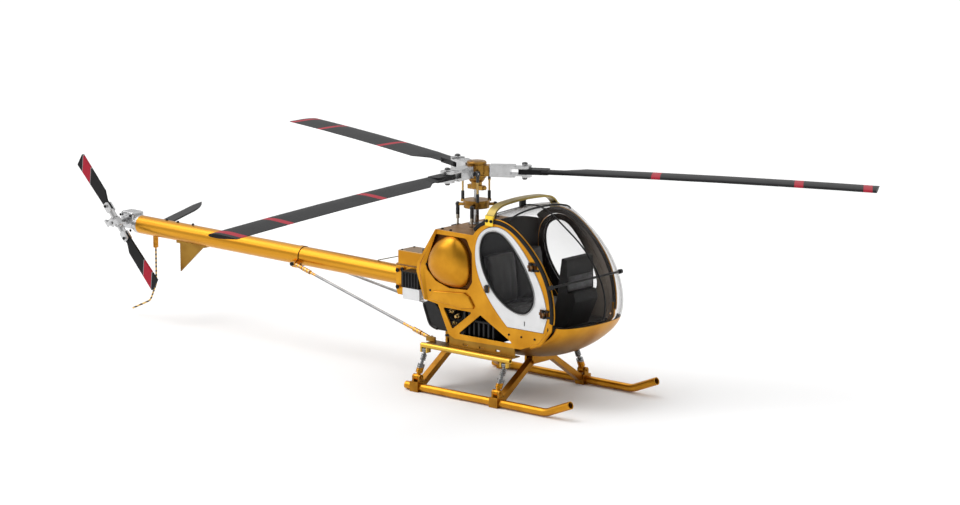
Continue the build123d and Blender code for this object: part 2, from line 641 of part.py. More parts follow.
def main_blade():
    """Drooping blade with a narrow root, its bolt hole at the origin and its tip on +X."""
    length = ROTOR_RADIUS - BLADE_BOLT_RADIUS
    stations = [(20, -10.5, 11.5, 5.2), (44, -11, 12.5, 5.0), (66, -13, 25.5, 4.8)]
    stations += [(share * length, -13, 25.5, 4.4) for share in (0.35, 0.55, 0.75, 0.9, 1.0)]
    sections = [blade_section(x, front, rear, thick, BLADE_DROOP * (x / length) ** 2)
                for x, front, rear, thick in stations]
    blade = loft(sections, ruled=True)
    root = block((-6.5, 28), (-8, 8), (-2.85, 2.85))
    root = fillet(root.edges().filter_by(Axis.Z), 3)
    return blade + root - Cylinder(1.5 + SLIP, 20)


def in_grip_frame(angle):
    return Pos(0, 0, HUB_HEIGHT) * Rot(0, 0, angle)


def lower_swash_ring():
    """Still ring with three lugs for the pushrods' balls."""
    ring = Pos(0, 0, SWASH_Z - 2.5) * (Cylinder(14.5, 4.8) - Cylinder(8, 8))
    for angle in PUSHROD_AZIMUTHS:
        lug = block((13, PUSHROD_RADIUS), (-2, 2), (PUSHROD_TOP - 1.4, PUSHROD_TOP + 1.4))
        ring += Rot(0, 0, angle) * (lug - Pos(PUSHROD_RADIUS, 0, PUSHROD_TOP) * Sphere(2.7))
    return ring - Pos(0, 0, SWASH_Z) * Cylinder(8, 30)


def pushrods():
    """Rods with thick black ball ends, from the servos to the still ring."""
    rods = []
    for angle in PUSHROD_AZIMUTHS:
        x, y = polar(PUSHROD_RADIUS, angle)
        bar = rod((x, y, 164), (x, y, 192), 1.3) + rod((x, y, 189), (x, y, PUSHROD_TOP - 1), 2.2)
        rods.append(bar + Pos(x, y, PUSHROD_TOP) * Sphere(2.7))
    return group(*rods)


def upper_swash_ring():
    """Turning ring with a ball arm under each link."""
    disc = Pos(0, 0, SWASH_Z + 2.1) * Cylinder(15, 4)
    sleeve = Pos(0, 0, SWASH_Z - 2.5) * Cylinder(8 - SLIP, 5.6)
    ring = disc + sleeve
    reach, turn = hypot(LINK_RADIAL, LINK_SIDE), degrees(atan2(LINK_SIDE, LINK_RADIAL))
    for angle in ARM_AZIMUTHS:
        arm = block((12, reach + 1.5), (-2, 2), (SWASH_Z + 0.6, SWASH_Z + 3.6))
        ring += Rot(0, 0, angle + turn) * arm
    return ring - Pos(0, 0, SWASH_Z) * Cylinder(MAST_RADIUS + 0.08, 30)


def grip_links():
    """Links from the turning ring up to the grips' pitch arms."""
    links = []
    for angle in ARM_AZIMUTHS:
        foot = Pos(LINK_RADIAL, LINK_SIDE, SWASH_Z + 3.6)
        bar = foot * (Pos(0, 0, 16) * Cylinder(1.1, 32) + Pos(0, 0, 4.5) * Cylinder(1.9, 9))
        bar += Pos(LINK_RADIAL, LINK_SIDE, LINK_Z - 7) * Cylinder(1.7, 8)
        eye = Pos(LINK_RADIAL, LINK_SIDE, LINK_Z) * Rot(90, 0, 0)
        bar = bar + eye * Cylinder(3.6, 2.4) - eye * Cylinder(2.3, 6)
        links.append(Rot(0, 0, angle) * bar)
    return group(*links)


# ---------------------------------------------------------------- landing gear
def skid_tube():
    """Right skid: a tube with an upturned front end, open at both ends."""
    path = FilletPolyline((-38, 0, SKID_HEIGHT), (166, 0, SKID_HEIGHT), (200, 0, 18.5), radius=28)
    start = Plane(origin=(-38, 0, SKID_HEIGHT), z_dir=(1, 0, 0))
    skid = sweep(start * Circle(SKID_RADIUS), path=path) - sweep(start * Circle(SKID_RADIUS - 1), path=path)
    return Pos(0, -SKID_TRACK, 0) * skid


def leg(x):
    """Right leg casting: pivot eye, sloping bar and the clamp on the skid."""
    pivot = (-LEG_PIVOT[0], LEG_PIVOT[1])
    bar = Polygon((pivot[0] + 1.5, pivot[1] + 2.6), (pivot[0] - 2, pivot[1] + 2.6), (-69, 12),
                  (-69, 5.5), (-66, 5.5), (pivot[0] + 2.5, pivot[1] - 2), align=None)
    casting = Pos(x - 4, 0, 0) * extrude(Plane.YZ * bar, amount=8)
    casting += rod((x - 4, *pivot), (x + 4, *pivot), 3.6)
    casting += block((x - 6, x + 6), (-SKID_TRACK - 6.2, -SKID_TRACK + 7.5), (0, 11.5))
    for side in (-1, 1):
        casting += block((x + side * 3, x + side * 5.5), (-79, -72), (11, 17))
        casting += rod((x + side * 3, -OLEO_FOOT[0], 16), (x + side * 5.5, -OLEO_FOOT[0], 16), 3.5)
    casting += rod((x - 7, -OLEO_FOOT[0], OLEO_FOOT[1]), (x + 7, -OLEO_FOOT[0], OLEO_FOOT[1]), 1.3)
    casting -= rod((x - 10, *pivot), (x + 10, *pivot), 1.5 + SLIP)
    casting -= rod((x - 10, -SKID_TRACK, SKID_HEIGHT), (x + 10, -SKID_TRACK, SKID_HEIGHT),
                   SKID_RADIUS + 0.02)
    return casting - block((x - 10, x + 10), (-90, -60), (-5, 0))


def gear_legs():
    return group(*[leg(x) for x in GEAR_STATIONS])


def oleo_point(distance):
    """Point on the right oleo's centre line, measured up from its foot."""
    rise = OLEO_TOP[1] - OLEO_FOOT[1]
    inward = OLEO_FOOT[0] - OLEO_TOP[0]
    length = hypot(rise, inward)
    return -OLEO_FOOT[0] + inward * distance / length, OLEO_FOOT[1] + rise * distance / length


def oleo_length():
    return hypot(OLEO_TOP[1] - OLEO_FOOT[1], OLEO_FOOT[0] - OLEO_TOP[0])


def oleo_cylinders():
    """Lower halves of the right oleos, with the eye on the leg's pin."""
    parts = []
    for x in GEAR_STATIONS:
        body = rod((x, *oleo_point(5)), (x, *oleo_point(15.5)), 4.0)
        body += rod((x, *oleo_point(2.5)), (x, *oleo_point(6)), 2.6)
        body += rod((x - 2.8, *oleo_point(0)), (x + 2.8, *oleo_point(0)), 3.6)
        body -= rod((x, *oleo_point(6.5)), (x, *oleo_point(20)), 1.8 + SLIP)
        parts.append(body - rod((x - 5, *oleo_point(0)), (x + 5, *oleo_point(0)), 1.3 + 0.55))
    return group(*parts)


def oleo_rods():
    """Upper halves of the right oleos: eye, ribbed sleeve and the sliding rod."""
    parts = []
    top = oleo_length()
    for x in GEAR_STATIONS:
        body = rod((x, *oleo_point(10.5)), (x, *oleo_point(top - 2)), 1.8)
        for rib in range(4):
            low = top - 5.2 - 1.9 * rib
            body += rod((x, *oleo_point(low - 1.2)), (x, *oleo_point(low)), 3.2)
        body += rod((x - 2.8, *oleo_point(top)), (x + 2.8, *oleo_point(top)), 3.2)
        parts.append(body - rod((x - 5, *oleo_point(top)), (x + 5, *oleo_point(top)), 1.3 + SLIP))
    return group(*parts)


def gear_crossbeams():
    """Beams under the keel with a forked lug and pin for each leg."""
    parts = []
    for x in GEAR_STATIONS:
        beam = block((x - 7, x + 7), (-20, 20), (40, KEEL[0]))
        for side in (-1, 1):
            beam -= block((x - 4.3, x + 4.3), (side * 10.5, side * 25), (38, 52))
            pin_y = side * LEG_PIVOT[0]
            beam += rod((x - 7, pin_y, LEG_PIVOT[1]), (x + 7, pin_y, LEG_PIVOT[1]), 1.5)
        beam = beam - cabin_outer if x > 0 else beam
        parts.append(beam)
    return group(*parts)


def step_boards():
    """Step board on each side, with the rail, the oleo lugs and the strut ears."""
    low, high = GEAR_STATIONS
    board = block((low, high + 8), (-66, -46), (52.4, 53.6))
    board += rod((low - 3, -65, 51), (high + 10, -65, 51), 2.9)
    board -= rod((low - 4, -65, 51), (high + 11, -65, 51), 1.8)
    board += block((low - 9, low + 4), (-51, -48.7), (52.4, 58))
    board += block((8, high + 8), (-PLATE_OUTER, -PLATE_INNER), (53, 66))
    for x in (28, 52, 76):
        board -= block((x, x + 7), (-PLATE_OUTER - 1, -PLATE_INNER + 1), (56.4, 58.6))
    board -= side_slab(side_frame_outline(), -PLATE_OUTER - 1, -PLATE_INNER + 1)
    for x in GEAR_STATIONS:
        for side in (-1, 1):
            lug = block((x + side * 3.2, x + side * 5.2), (-65.5, -59), (42.5, 52.5))
            board += lug - rod((low - 4, -65, 51), (high + 11, -65, 51), 1.8)
        board += rod((x - 5.2, -OLEO_TOP[0], OLEO_TOP[1]), (x + 5.2, -OLEO_TOP[0], OLEO_TOP[1]), 1.3)
    return group(board, other_side(board))


# ---------------------------------------------------------------- doors and roof
def hinge_point(height):
    """Point of the right door's hinge line."""
    share = (height - HINGE_LOW[1]) / (HINGE_HIGH[1] - HINGE_LOW[1])
    return HINGE_LOW[0] + share * (HINGE_HIGH[0] - HINGE_LOW[0]), -HINGE_OUT, height


def door():
    """Right door panel with its hinge straps and latch."""
    panel = side_slab(door_outline(), -PLATE_OUTER - 0.4, -PLATE_INNER)
    panel -= side_slab(window_outline(), -60, -50)
    for height in (HINGE_LOW[1], HINGE_HIGH[1]):
        x, y, z = hinge_point(height)
        strap = block((x - 7, x - 0.5), (-PLATE_OUTER - 1.6, -PLATE_OUTER - 0.4), (z - 1.6, z + 1.6))
        panel += strap + rod(hinge_point(z - 1.6), hinge_point(z + 1.6), 1.5)
    latch = block((60, 68), (-PLATE_OUTER - 2, -PLATE_OUTER), (123, 129))
    panel += latch & side_slab(door_outline(), -60, -50)
    return panel - rod(hinge_point(80), hinge_point(180), 0.7 + SLIP)


def door_window():
    return side_slab(window_outline(), -PLATE_OUTER + 0.1, -PLATE_OUTER + 1.3)


def door_hinges():
    """Fixed half of the door hinges: two knuckles and a pin at each hinge."""
    parts = []
    for height in (HINGE_LOW[1], HINGE_HIGH[1]):
        z = height
        hinge = rod(hinge_point(z - 4.8), hinge_point(z + 4.8), 0.7)
        for low, high in ((z - 4.8, z - 1.9), (z + 1.9, z + 4.8)):
            x, y, middle = hinge_point((low + high) / 2)
            hinge += rod(hinge_point(low), hinge_point(high), 1.5)
            hinge += block((x + 0.5, x + 7), (-PLATE_OUTER - 1.6, -PLATE_OUTER), (low + 0.3, high - 0.3))
        parts.append(hinge - side_slab(door_outline(0.7), -PLATE_OUTER - 0.45, -50))
    hinges = group(*parts)
    return group(hinges, other_side(hinges))


def roof_handle():
    """Strap over the roof with a bracket on each side and a rubber pad in the middle."""
    half = PLATE_OUTER
    top_points = [(-half, 209), (-48, 216.5), (-27, 221), (0, 222), (27, 221), (48, 216.5), (half, 209)]
    low_points = [(y, z - 2.4) for y, z in reversed(top_points)]
    arch = make_face(Spline(*top_points) + Line(top_points[-1], low_points[0]) + Spline(*low_points)
                     + Line(low_points[-1], top_points[0]))
    strap = Pos(62, 0, 0) * extrude(Plane.YZ * arch, amount=11)
    for side in (-1, 1):
        strap += block((62, 73), (side * half, side * (half + 2)), (197.4, 209))
    pad = Pos(67.5, 0, 216) * Cylinder(4, 8) - cabin_outer
    return strap + (pad - block((0, 200), (-9, 9), (219.7, 240)))


# ---------------------------------------------------------------- placing and saving
def placed_main_blade(number):
    """A main blade bolted in its grip, at its small lead or lag angle."""
    lag = Rot(0, 0, BLADE_LAG[number])
    return in_grip_frame(ARM_AZIMUTHS[number]) * Pos(BLADE_BOLT_RADIUS, 0, 0) * lag * main_blade()


def save_both_sides(name, shape):
    """Write a right-hand piece and its mirror image."""
    save(shape, f"{name}_right")
    save(other_side(shape), f"{name}_left")


def save_cabin():
    save(canopy(), "canopy")
    save(belly_shell(), "belly_shell")
    save(cross_rod(), "cross_rod")
    save(roof_handle(), "roof_handle")
    save(seat_bench(), "seat_bench")
    save(instrument_console(), "instrument_console")
    save(battery_pack(), "battery_pack")
    save_both_sides("door", door())
    save_both_sides("door_window", door_window())
    save(door_hinges(), "door_hinges")


def save_frame():
    save_both_sides("side_plate", side_plate())
    save(frame_panels(), "frame_panels")
    save(mast_decks(), "mast_decks")
    save(shaft_bearings(), "shaft_bearings")
    save(fuel_tanks(), "fuel_tanks")
    save(engine_cooling(), "engine_cooling")
    save(receiver_box(), "receiver_box")
    save(servos(), "servos")
    save(muffler(), "muffler")
    save(motor_rotor(), "motor")


def save_tail():
    save(boom_clamps(), "boom_clamps")
    save(boom_tube(), "boom_tube")
    save(boom_struts(), "boom_struts")
    save(stabiliser(), "stabiliser")
    save(ventral_fin(), "ventral_fin")
    save(tail_skid(), "tail_skid")
    save(tail_gearbox(), "tail_gearbox")
    save(tail_shaft(), "tail_shaft")
    save(tail_rotor_hub(), "tail_rotor_hub")
    save(tail_pitch_slider(), "tail_pitch_slider")
    for number, turn in ((1, 0), (2, 180)):
        frame = tail_blade_frame() * Rot(0, turn, 0)
        save(frame * tail_blade_grip(), f"tail_blade_grip_{number}")
        save(frame * tail_blade(), f"tail_blade_{number}")


def save_rotor_head():
    save(rotor_mast(), "rotor_mast")
    save(main_gear(), "main_gear")
    save(rotor_hub(), "rotor_hub")
    save(lower_swash_ring(), "lower_swash_ring")
    save(pushrods(), "pushrods")
    save(upper_swash_ring(), "upper_swash_ring")
    save(grip_links(), "grip_links")
    for number, angle in enumerate(ARM_AZIMUTHS):
        save(in_grip_frame(angle) * blade_grip(), f"blade_grip_{number + 1}")
        save(placed_main_blade(number), f"main_blade_{number + 1}")


def save_landing_gear():
    save(gear_crossbeams(), "gear_crossbeams")
    save(step_boards(), "step_boards")
    save_both_sides("skid_tube", skid_tube())
    save_both_sides("gear_legs", gear_legs())
    save_both_sides("oleo_cylinders", oleo_cylinders())
    save_both_sides("oleo_rods", oleo_rods())


save_cabin()
save_frame()
save_tail()
save_rotor_head()
save_landing_gear()
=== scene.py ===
from math import cos, exp, pi, radians, sin

import bmesh
import bpy
from mathutils import Matrix, Vector
from mathutils.bvhtree import BVHTree


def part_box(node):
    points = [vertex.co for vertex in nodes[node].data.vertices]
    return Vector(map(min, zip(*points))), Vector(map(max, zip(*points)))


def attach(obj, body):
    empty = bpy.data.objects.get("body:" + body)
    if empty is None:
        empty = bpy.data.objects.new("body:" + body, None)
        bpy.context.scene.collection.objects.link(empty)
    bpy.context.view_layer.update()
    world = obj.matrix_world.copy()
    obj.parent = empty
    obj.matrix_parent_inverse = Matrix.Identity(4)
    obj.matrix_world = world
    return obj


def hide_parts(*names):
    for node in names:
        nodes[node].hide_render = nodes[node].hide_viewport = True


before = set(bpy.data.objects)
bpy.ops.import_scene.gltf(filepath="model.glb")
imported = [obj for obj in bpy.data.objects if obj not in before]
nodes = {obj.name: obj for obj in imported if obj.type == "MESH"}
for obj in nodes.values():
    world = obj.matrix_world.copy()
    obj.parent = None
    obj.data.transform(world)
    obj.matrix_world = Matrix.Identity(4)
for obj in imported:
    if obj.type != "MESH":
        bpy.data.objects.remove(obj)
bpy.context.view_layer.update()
MM = 0.001

# ---------------------------------------------------------------- named places, in metres
RIGHT, LEFT = -1, 1                        # sign of Y on each side
PLATE_FACE = -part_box("side_plate_right")[0].y
HUB = Vector((0, 0, 0.245))
ARM_AZIMUTHS = (34, 154, 274)
BLADE_BANDS = ((0.198, 0.208), (0.357, 0.367), (0.433, 0.443))
BLADE_BOLT_REACH = 0.0545                  # from the mast to a main blade's bolt
GRIP_HALF_HEIGHT = 0.0079
TAIL_BLADE_ANGLE = radians(131.7)
TAIL_BLADE_BANDS = ((0.069, 0.088),)
TAIL_BAND_SLANT = 0.92
TAIL_BOLT_REACH = 0.024
TAIL_HUB = sum(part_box("tail_pitch_slider"), Vector()) / 2
CABIN_MIDDLE = Vector((0.100, 0, 0.125))
DOOR_FACE = PLATE_FACE + 0.0005
HINGE_HEIGHTS = (0.1087, 0.1589)
HINGE_LINE_X, HINGE_LEAN = 0.1462, 0.3367  # X at the lower hinge, and X lost per metre of height above it
CONSOLE_FACE_X, CONSOLE_FACE_Z, CONSOLE_LEAN = 0.1380, 0.127, 0.154
BOOM_JOINT = Vector((-0.2665, 0, 0.1117))

# Where one finish ends and the next begins on a node, and where painted daylight and painted shade fade in.
DAYLIGHT_FROM, DAYLIGHT_FULL = 0.100, 0.154
BELLY_SHADE_FROM, BELLY_SHADE_FULL = 0.098, 0.052
RAIL_INNER_EDGE = 0.0618
RECEIVER_LID, RECEIVER_KNOB, AERIAL_ROOT = 0.1412, 0.1423, -0.1064
OLEO_CLEVIS_TOP = 0.0265
HANDLE_BRACKET_TOP, HANDLE_PAD_TOP, HANDLE_PAD_HALF = 0.2088, 0.2192, 0.006
STRUT_FRONT_FITTING, STRUT_REAR_FITTING = -0.073, -0.228
SKID_SOCKET = 0.0885
LINK_METAL = (0.2205, 0.2335)
PUSHROD_METAL = (0.0, 0.1935)


# ---------------------------------------------------------------- material helpers
class Look:
    """One node material, built up step by step."""

    def __init__(self, name, colour, metallic=0.0, roughness=0.4):
        self.material = bpy.data.materials.new(name)
        self.material.use_nodes = True
        self.tree = self.material.node_tree
        self.shader = self.tree.nodes["Principled BSDF"]
        self.shader.inputs["Base Color"].default_value = (*colour, 1)
        self.shader.inputs["Metallic"].default_value = metallic
        self.shader.inputs["Roughness"].default_value = roughness
        self.place = self.node("ShaderNodeTexCoord").outputs["Object"]
        self.normal = None
        self.colour = None

    def node(self, kind, **settings):
        """Add a node and set its options."""
        made = self.tree.nodes.new(kind)
        for key, value in settings.items():
            setattr(made, key, value)
        return made

    def link(self, start, end):
        self.tree.links.new(start, end)

    def set(self, name, value):
        """Set one of the shader's plain inputs."""
        self.shader.inputs[name].default_value = value
        return self

    def noise(self, scale, detail=4.0, stretch=(1, 1, 1)):
        """Noise in metres-based object space, stretched along the axes."""
        mapping = self.node("ShaderNodeMapping")
        mapping.inputs["Scale"].default_value = stretch
        self.link(self.place, mapping.inputs["Vector"])
        noise = self.node("ShaderNodeTexNoise")
        noise.inputs["Scale"].default_value = scale
        noise.inputs["Detail"].default_value = detail
        self.link(mapping.outputs["Vector"], noise.inputs["Vector"])
        return noise.outputs["Fac"]

    def spread(self, source, low, high):
        """Turn a 0 to 1 value into a number between two limits."""
        remap = self.node("ShaderNodeMapRange")
        remap.inputs["To Min"].default_value = low
        remap.inputs["To Max"].default_value = high
        self.link(source, remap.inputs["Value"])
        return remap.outputs["Result"]

    def rough(self, source, low, high):
        """Vary the roughness between two limits."""
        self.link(self.spread(source, low, high), self.shader.inputs["Roughness"])
        return self

    def tint(self, source, first, second, low=0.35, high=0.65):
        """Blend two colours by a value."""
        ramp = self.node("ShaderNodeValToRGB")
        ramp.color_ramp.elements[0].position = low
        ramp.color_ramp.elements[0].color = (*first, 1)
        ramp.color_ramp.elements[1].position = high
        ramp.color_ramp.elements[1].color = (*second, 1)
        self.link(source, ramp.inputs["Fac"])
        self.colour = ramp.outputs["Color"]
        self.link(self.colour, self.shader.inputs["Base Color"])
        return self

    def over(self, mask, colour):
        """Paint a second colour where the mask is 1."""
        mix = self.node("ShaderNodeMix", data_type="RGBA")
        self.link(mask, mix.inputs["Factor"])
        if self.colour is None:
            mix.inputs["A"].default_value = self.shader.inputs["Base Color"].default_value
        else:
            self.link(self.colour, mix.inputs["A"])
        mix.inputs["B"].default_value = (*colour, 1)
        self.colour = mix.outputs["Result"]
        self.link(self.colour, self.shader.inputs["Base Color"])
        return self

    def metal_where(self, mask, inside, outside):
        """Metallic inside a mask, and another amount outside it."""
        self.link(self.spread(mask, outside, inside), self.shader.inputs["Metallic"])
        return self

    def inner_side(self, middle):
        """1 on faces that look towards a middle point."""
        geometry = self.node("ShaderNodeNewGeometry")
        away = self.node("ShaderNodeVectorMath", operation="SUBTRACT")
        self.link(self.place, away.inputs[0])
        away.inputs[1].default_value = middle
        dot = self.node("ShaderNodeVectorMath", operation="DOT_PRODUCT")
        self.link(geometry.outputs["True Normal"], dot.inputs[0])
        self.link(away.outputs["Vector"], dot.inputs[1])
        return self.maths("LESS_THAN", dot.outputs["Value"], 0.0)

    def line_inside(self, mask):
        """Paint the cabin side of a panel black, with painted daylight making it paler grey towards the nose.
        """
        self.over(mask, INSIDE_BLACK)
        # Painted light: the black turns paler grey towards the nose, as if daylight fell there.
        daylight = self.fade(self.along((1, 0, 0)), DAYLIGHT_FROM, DAYLIGHT_FULL)
        return self.over(self.maths("MULTIPLY", mask, daylight), INSIDE_DAYLIGHT_GREY)

    def nearer_than(self, axis, limit):
        """1 where the point is closer than a limit to the plane through the origin across an axis."""
        return self.maths("LESS_THAN", self.maths("ABSOLUTE", self.along(axis)), limit)

    def soft_edges(self, radius):
        """Let light catch the edges as on a slightly broken corner."""
        bevel = self.node("ShaderNodeBevel", samples=4)
        bevel.inputs["Radius"].default_value = radius
        self.normal = bevel.outputs["Normal"]
        self.link(self.normal, self.shader.inputs["Normal"])
        return self

    def over_wave(self, axis, scale):
        """Darken the colour in even rings along an axis."""
        wave = self.node("ShaderNodeTexWave", bands_direction=axis)
        wave.inputs["Scale"].default_value = scale
        self.link(self.place, wave.inputs["Vector"])
        self.over(self.spread(wave.outputs["Fac"], 0.0, 0.75), (0.07, 0.07, 0.07))
        return self.bump(wave.outputs["Fac"], 0.0003, 0.5)

    def bump(self, source, depth, strength=1.0):
        """Add fine relief on top of the relief already there."""
        bump = self.node("ShaderNodeBump")
        bump.inputs["Distance"].default_value = depth
        bump.inputs["Strength"].default_value = strength
        self.link(source, bump.inputs["Height"])
        if self.normal is not None:
            self.link(self.normal, bump.inputs["Normal"])
        self.normal = bump.outputs["Normal"]
        self.link(self.normal, self.shader.inputs["Normal"])
        return self

    def maths(self, operation, first, second=None):
        """Arithmetic on sockets or plain numbers."""
        node = self.node("ShaderNodeMath", operation=operation)
        for slot, value in enumerate((first, second)):
            if value is None:
                continue
            if isinstance(value, (int, float)):
                node.inputs[slot].default_value = value
            else:
                self.link(value, node.inputs[slot])
        return node.outputs["Value"]

    def along(self, direction, start=(0, 0, 0)):
        """Distance of the point from a start, along a direction."""
        shift = self.node("ShaderNodeVectorMath", operation="SUBTRACT")
        self.link(self.place, shift.inputs[0])
        shift.inputs[1].default_value = start
        dot = self.node("ShaderNodeVectorMath", operation="DOT_PRODUCT")
        self.link(shift.outputs["Vector"], dot.inputs[0])
        dot.inputs[1].default_value = direction
        return dot.outputs["Value"]

    def fade(self, value, at_none, at_full):
        """0 to 1 as a value goes between two limits."""
        remap = self.node("ShaderNodeMapRange", interpolation_type="SMOOTHSTEP")
        remap.inputs["From Min"].default_value = at_none
        remap.inputs["From Max"].default_value = at_full
        self.link(value, remap.inputs["Value"])
        return remap.outputs["Result"]

    def between(self, value, low, high):
        """1 where a value lies between two limits."""
        above = self.maths("GREATER_THAN", value, low)
        below = self.maths("LESS_THAN", value, high)
        return self.maths("MULTIPLY", above, below)


# ---------------------------------------------------------------- materials
GOLD_LIGHT, GOLD_DARK = (0.68, 0.315, 0.022), (0.53, 0.225, 0.013)
# The olive colours also serve as painted shade, on the step boards and at the bottom of the belly shell.
OLIVE_LIGHT, OLIVE_DARK = (0.34, 0.185, 0.03), (0.25, 0.12, 0.016)
BRONZE_LIGHT, BRONZE_DARK = (0.40, 0.215, 0.04), (0.19, 0.085, 0.015)
# The second colour is painted daylight: the paler grey laid over the black cabin side towards the nose.
INSIDE_BLACK, INSIDE_DAYLIGHT_GREY = (0.009, 0.009, 0.010), (0.30, 0.26, 0.22)


def gold_look(name="gold_anodised", light=GOLD_LIGHT, dark=GOLD_DARK):
    """Satin orange-gold anodised aluminium."""
    look = Look(name, light, metallic=0.92)
    look.tint(look.noise(38, 3), dark, light)
    look.rough(look.noise(420, 6), 0.27, 0.4)
    look.soft_edges(0.0006)
    look.bump(look.noise(2600, 2), 0.00001, 0.25)
    return look


def lined_gold_look(name, middle=None):
    """Gold outside and painted black inside: a flat side plate with painted daylight on its cabin side, or a
    shell round a middle point with painted shade towards the bottom.
    """
    look = gold_look(name)
    if middle is None:
        mask = look.nearer_than((0, 1, 0), PLATE_FACE - 0.0018)
        look.line_inside(mask)
    else:
        # Painted shade: the shell's gold darkens to olive towards the bottom, where the body shades the floor
        # beneath it.
        look.over(look.fade(look.along((0, 0, 1)), BELLY_SHADE_FROM, BELLY_SHADE_FULL), OLIVE_DARK)
        mask = look.inner_side(middle)
        look.over(mask, INSIDE_BLACK)
    return look.metal_where(mask, 0.0, 0.92).material


def board_look():
    """Step boards darkened to olive as painted shade, with a brighter rail along the outside."""
    # Painted shade: the boards' gold is darkened to olive.
    look = gold_look("step_board_shaded_gold", OLIVE_LIGHT, OLIVE_DARK)
    rail = look.maths("GREATER_THAN", look.maths("ABSOLUTE", look.along((0, 1, 0))), RAIL_INNER_EDGE)
    look.over(rail, (0.70, 0.43, 0.06))
    return look.material


def receiver_look():
    """Gold box with a brown lid, a black knob and an olive aerial."""
    look = gold_look("receiver_gold")
    height = look.along((0, 0, 1))
    look.over(look.maths("GREATER_THAN", height, RECEIVER_LID), (0.30, 0.17, 0.06))
    look.over(look.maths("LESS_THAN", look.along((1, 0, 0)), AERIAL_ROOT), (0.10, 0.09, 0.03))
    knob = look.maths("GREATER_THAN", height, RECEIVER_KNOB)
    return look.over(knob, INSIDE_BLACK).metal_where(knob, 0.0, 0.92).material


def oleo_look():
    """Ribbed silver leg above, gold clevis below."""
    look = silver_look("oleo_silver", 0.36).over_wave("Z", 150)
    lower = look.between(look.along((0, 0, 1)), 0.0, OLEO_CLEVIS_TOP)
    return look.over(lower, GOLD_DARK).material


def handle_look():
    """Dull olive strap with bright yellow brackets."""
    look = gold_look("handle_gold", (0.34, 0.25, 0.07), (0.25, 0.18, 0.045))
    look.over(look.between(look.along((0, 0, 1)), 0.0, HANDLE_BRACKET_TOP), (0.95, 0.66, 0.06))
    pad = look.maths("MULTIPLY", look.nearer_than((0, 1, 0), HANDLE_PAD_HALF),
                     look.maths("LESS_THAN", look.along((0, 0, 1)), HANDLE_PAD_TOP))
    return look.over(pad, INSIDE_BLACK).metal_where(pad, 0.0, 0.85).material


def boom_look():
    """The same anodising on a drawn tube: faint lines along it."""
    look = Look("gold_boom", GOLD_LIGHT, metallic=0.92)
    look.tint(look.noise(60, 3, stretch=(0.06, 1, 1)), GOLD_DARK, GOLD_LIGHT)
    look.rough(look.noise(900, 4, stretch=(0.03, 1, 1)), 0.24, 0.36)
    return look.bump(look.noise(1800, 2, stretch=(0.02, 1, 1)), 0.000012, 0.3).material


def brown_look():
    """Darker, rougher anodising on the flat decks."""
    look = Look("brown_anodised", (0.33, 0.18, 0.07), metallic=0.8)
    look.tint(look.noise(90, 4), (0.26, 0.13, 0.045), (0.38, 0.21, 0.075))
    look.rough(look.noise(700, 5), 0.38, 0.52)
    look.soft_edges(0.0004)
    return look.bump(look.noise(3000, 2), 0.00001, 0.3).material


def silver_look(name="machined_silver", tone=0.56, low=0.2, high=0.34):
    """Machined aluminium with fine turning marks."""
    look = Look(name, (tone, tone, tone * 1.01), metallic=0.95)
    look.tint(look.noise(120, 3), (tone * 0.86,) * 3, (tone, tone, tone * 1.01))
    look.rough(look.noise(800, 4, stretch=(1, 1, 9)), low, high)
    look.soft_edges(0.0005)
    return look.bump(look.noise(2400, 2, stretch=(1, 1, 8)), 0.00001, 0.25)


def dark_look(name, tone, low, high, grain=0.00002):
    """Moulded or anodised black, from its tone and its range of roughness."""
    look = Look(name, (tone, tone, tone * 1.03))
    look.tint(look.noise(150, 4), (tone * 0.75,) * 3, (tone * 1.2, tone * 1.2, tone * 1.25))
    look.rough(look.noise(600, 5), low, high)
    look.soft_edges(0.0005)
    look.set("Specular IOR Level", 0.25)
    return look.bump(look.noise(1900, 4), grain, 0.5).material


def white_look(name="white_plastic", lined=True):
    """Glossy white moulding with a little orange peel, black on its cabin side with painted daylight towards
    the nose.
    """
    look = Look(name, (0.84, 0.845, 0.85), roughness=0.22)
    look.tint(look.noise(70, 3), (0.80, 0.805, 0.81), (0.86, 0.865, 0.87))
    look.rough(look.noise(500, 3), 0.16, 0.28)
    look.soft_edges(0.0005)
    if lined:
        look.line_inside(look.nearer_than((0, 1, 0), PLATE_FACE - 0.0008))
        from_middle = look.maths("ABSOLUTE", look.along((0, 1, 0)))
        knuckles = look.maths("GREATER_THAN", from_middle, PLATE_FACE + 0.0012)
        look.over(knuckles, BRONZE_DARK)
    return look.bump(look.noise(650, 2), 0.00002, 0.25).set("Coat Weight", 0.4).material


def two_part_look(name, stretch, colour):
    """Black plastic with a metal stretch between two heights."""
    look = Look(name, (0.02, 0.02, 0.021))
    look.tint(look.noise(150, 4), (0.014, 0.014, 0.015), (0.026, 0.026, 0.028))
    band = look.between(look.along((0, 0, 1)), *stretch)
    look.over(band, colour).metal_where(band, 1.0, 0.0)
    look.rough(look.noise(600, 4), 0.28, 0.42)
    return look.soft_edges(0.0003).material


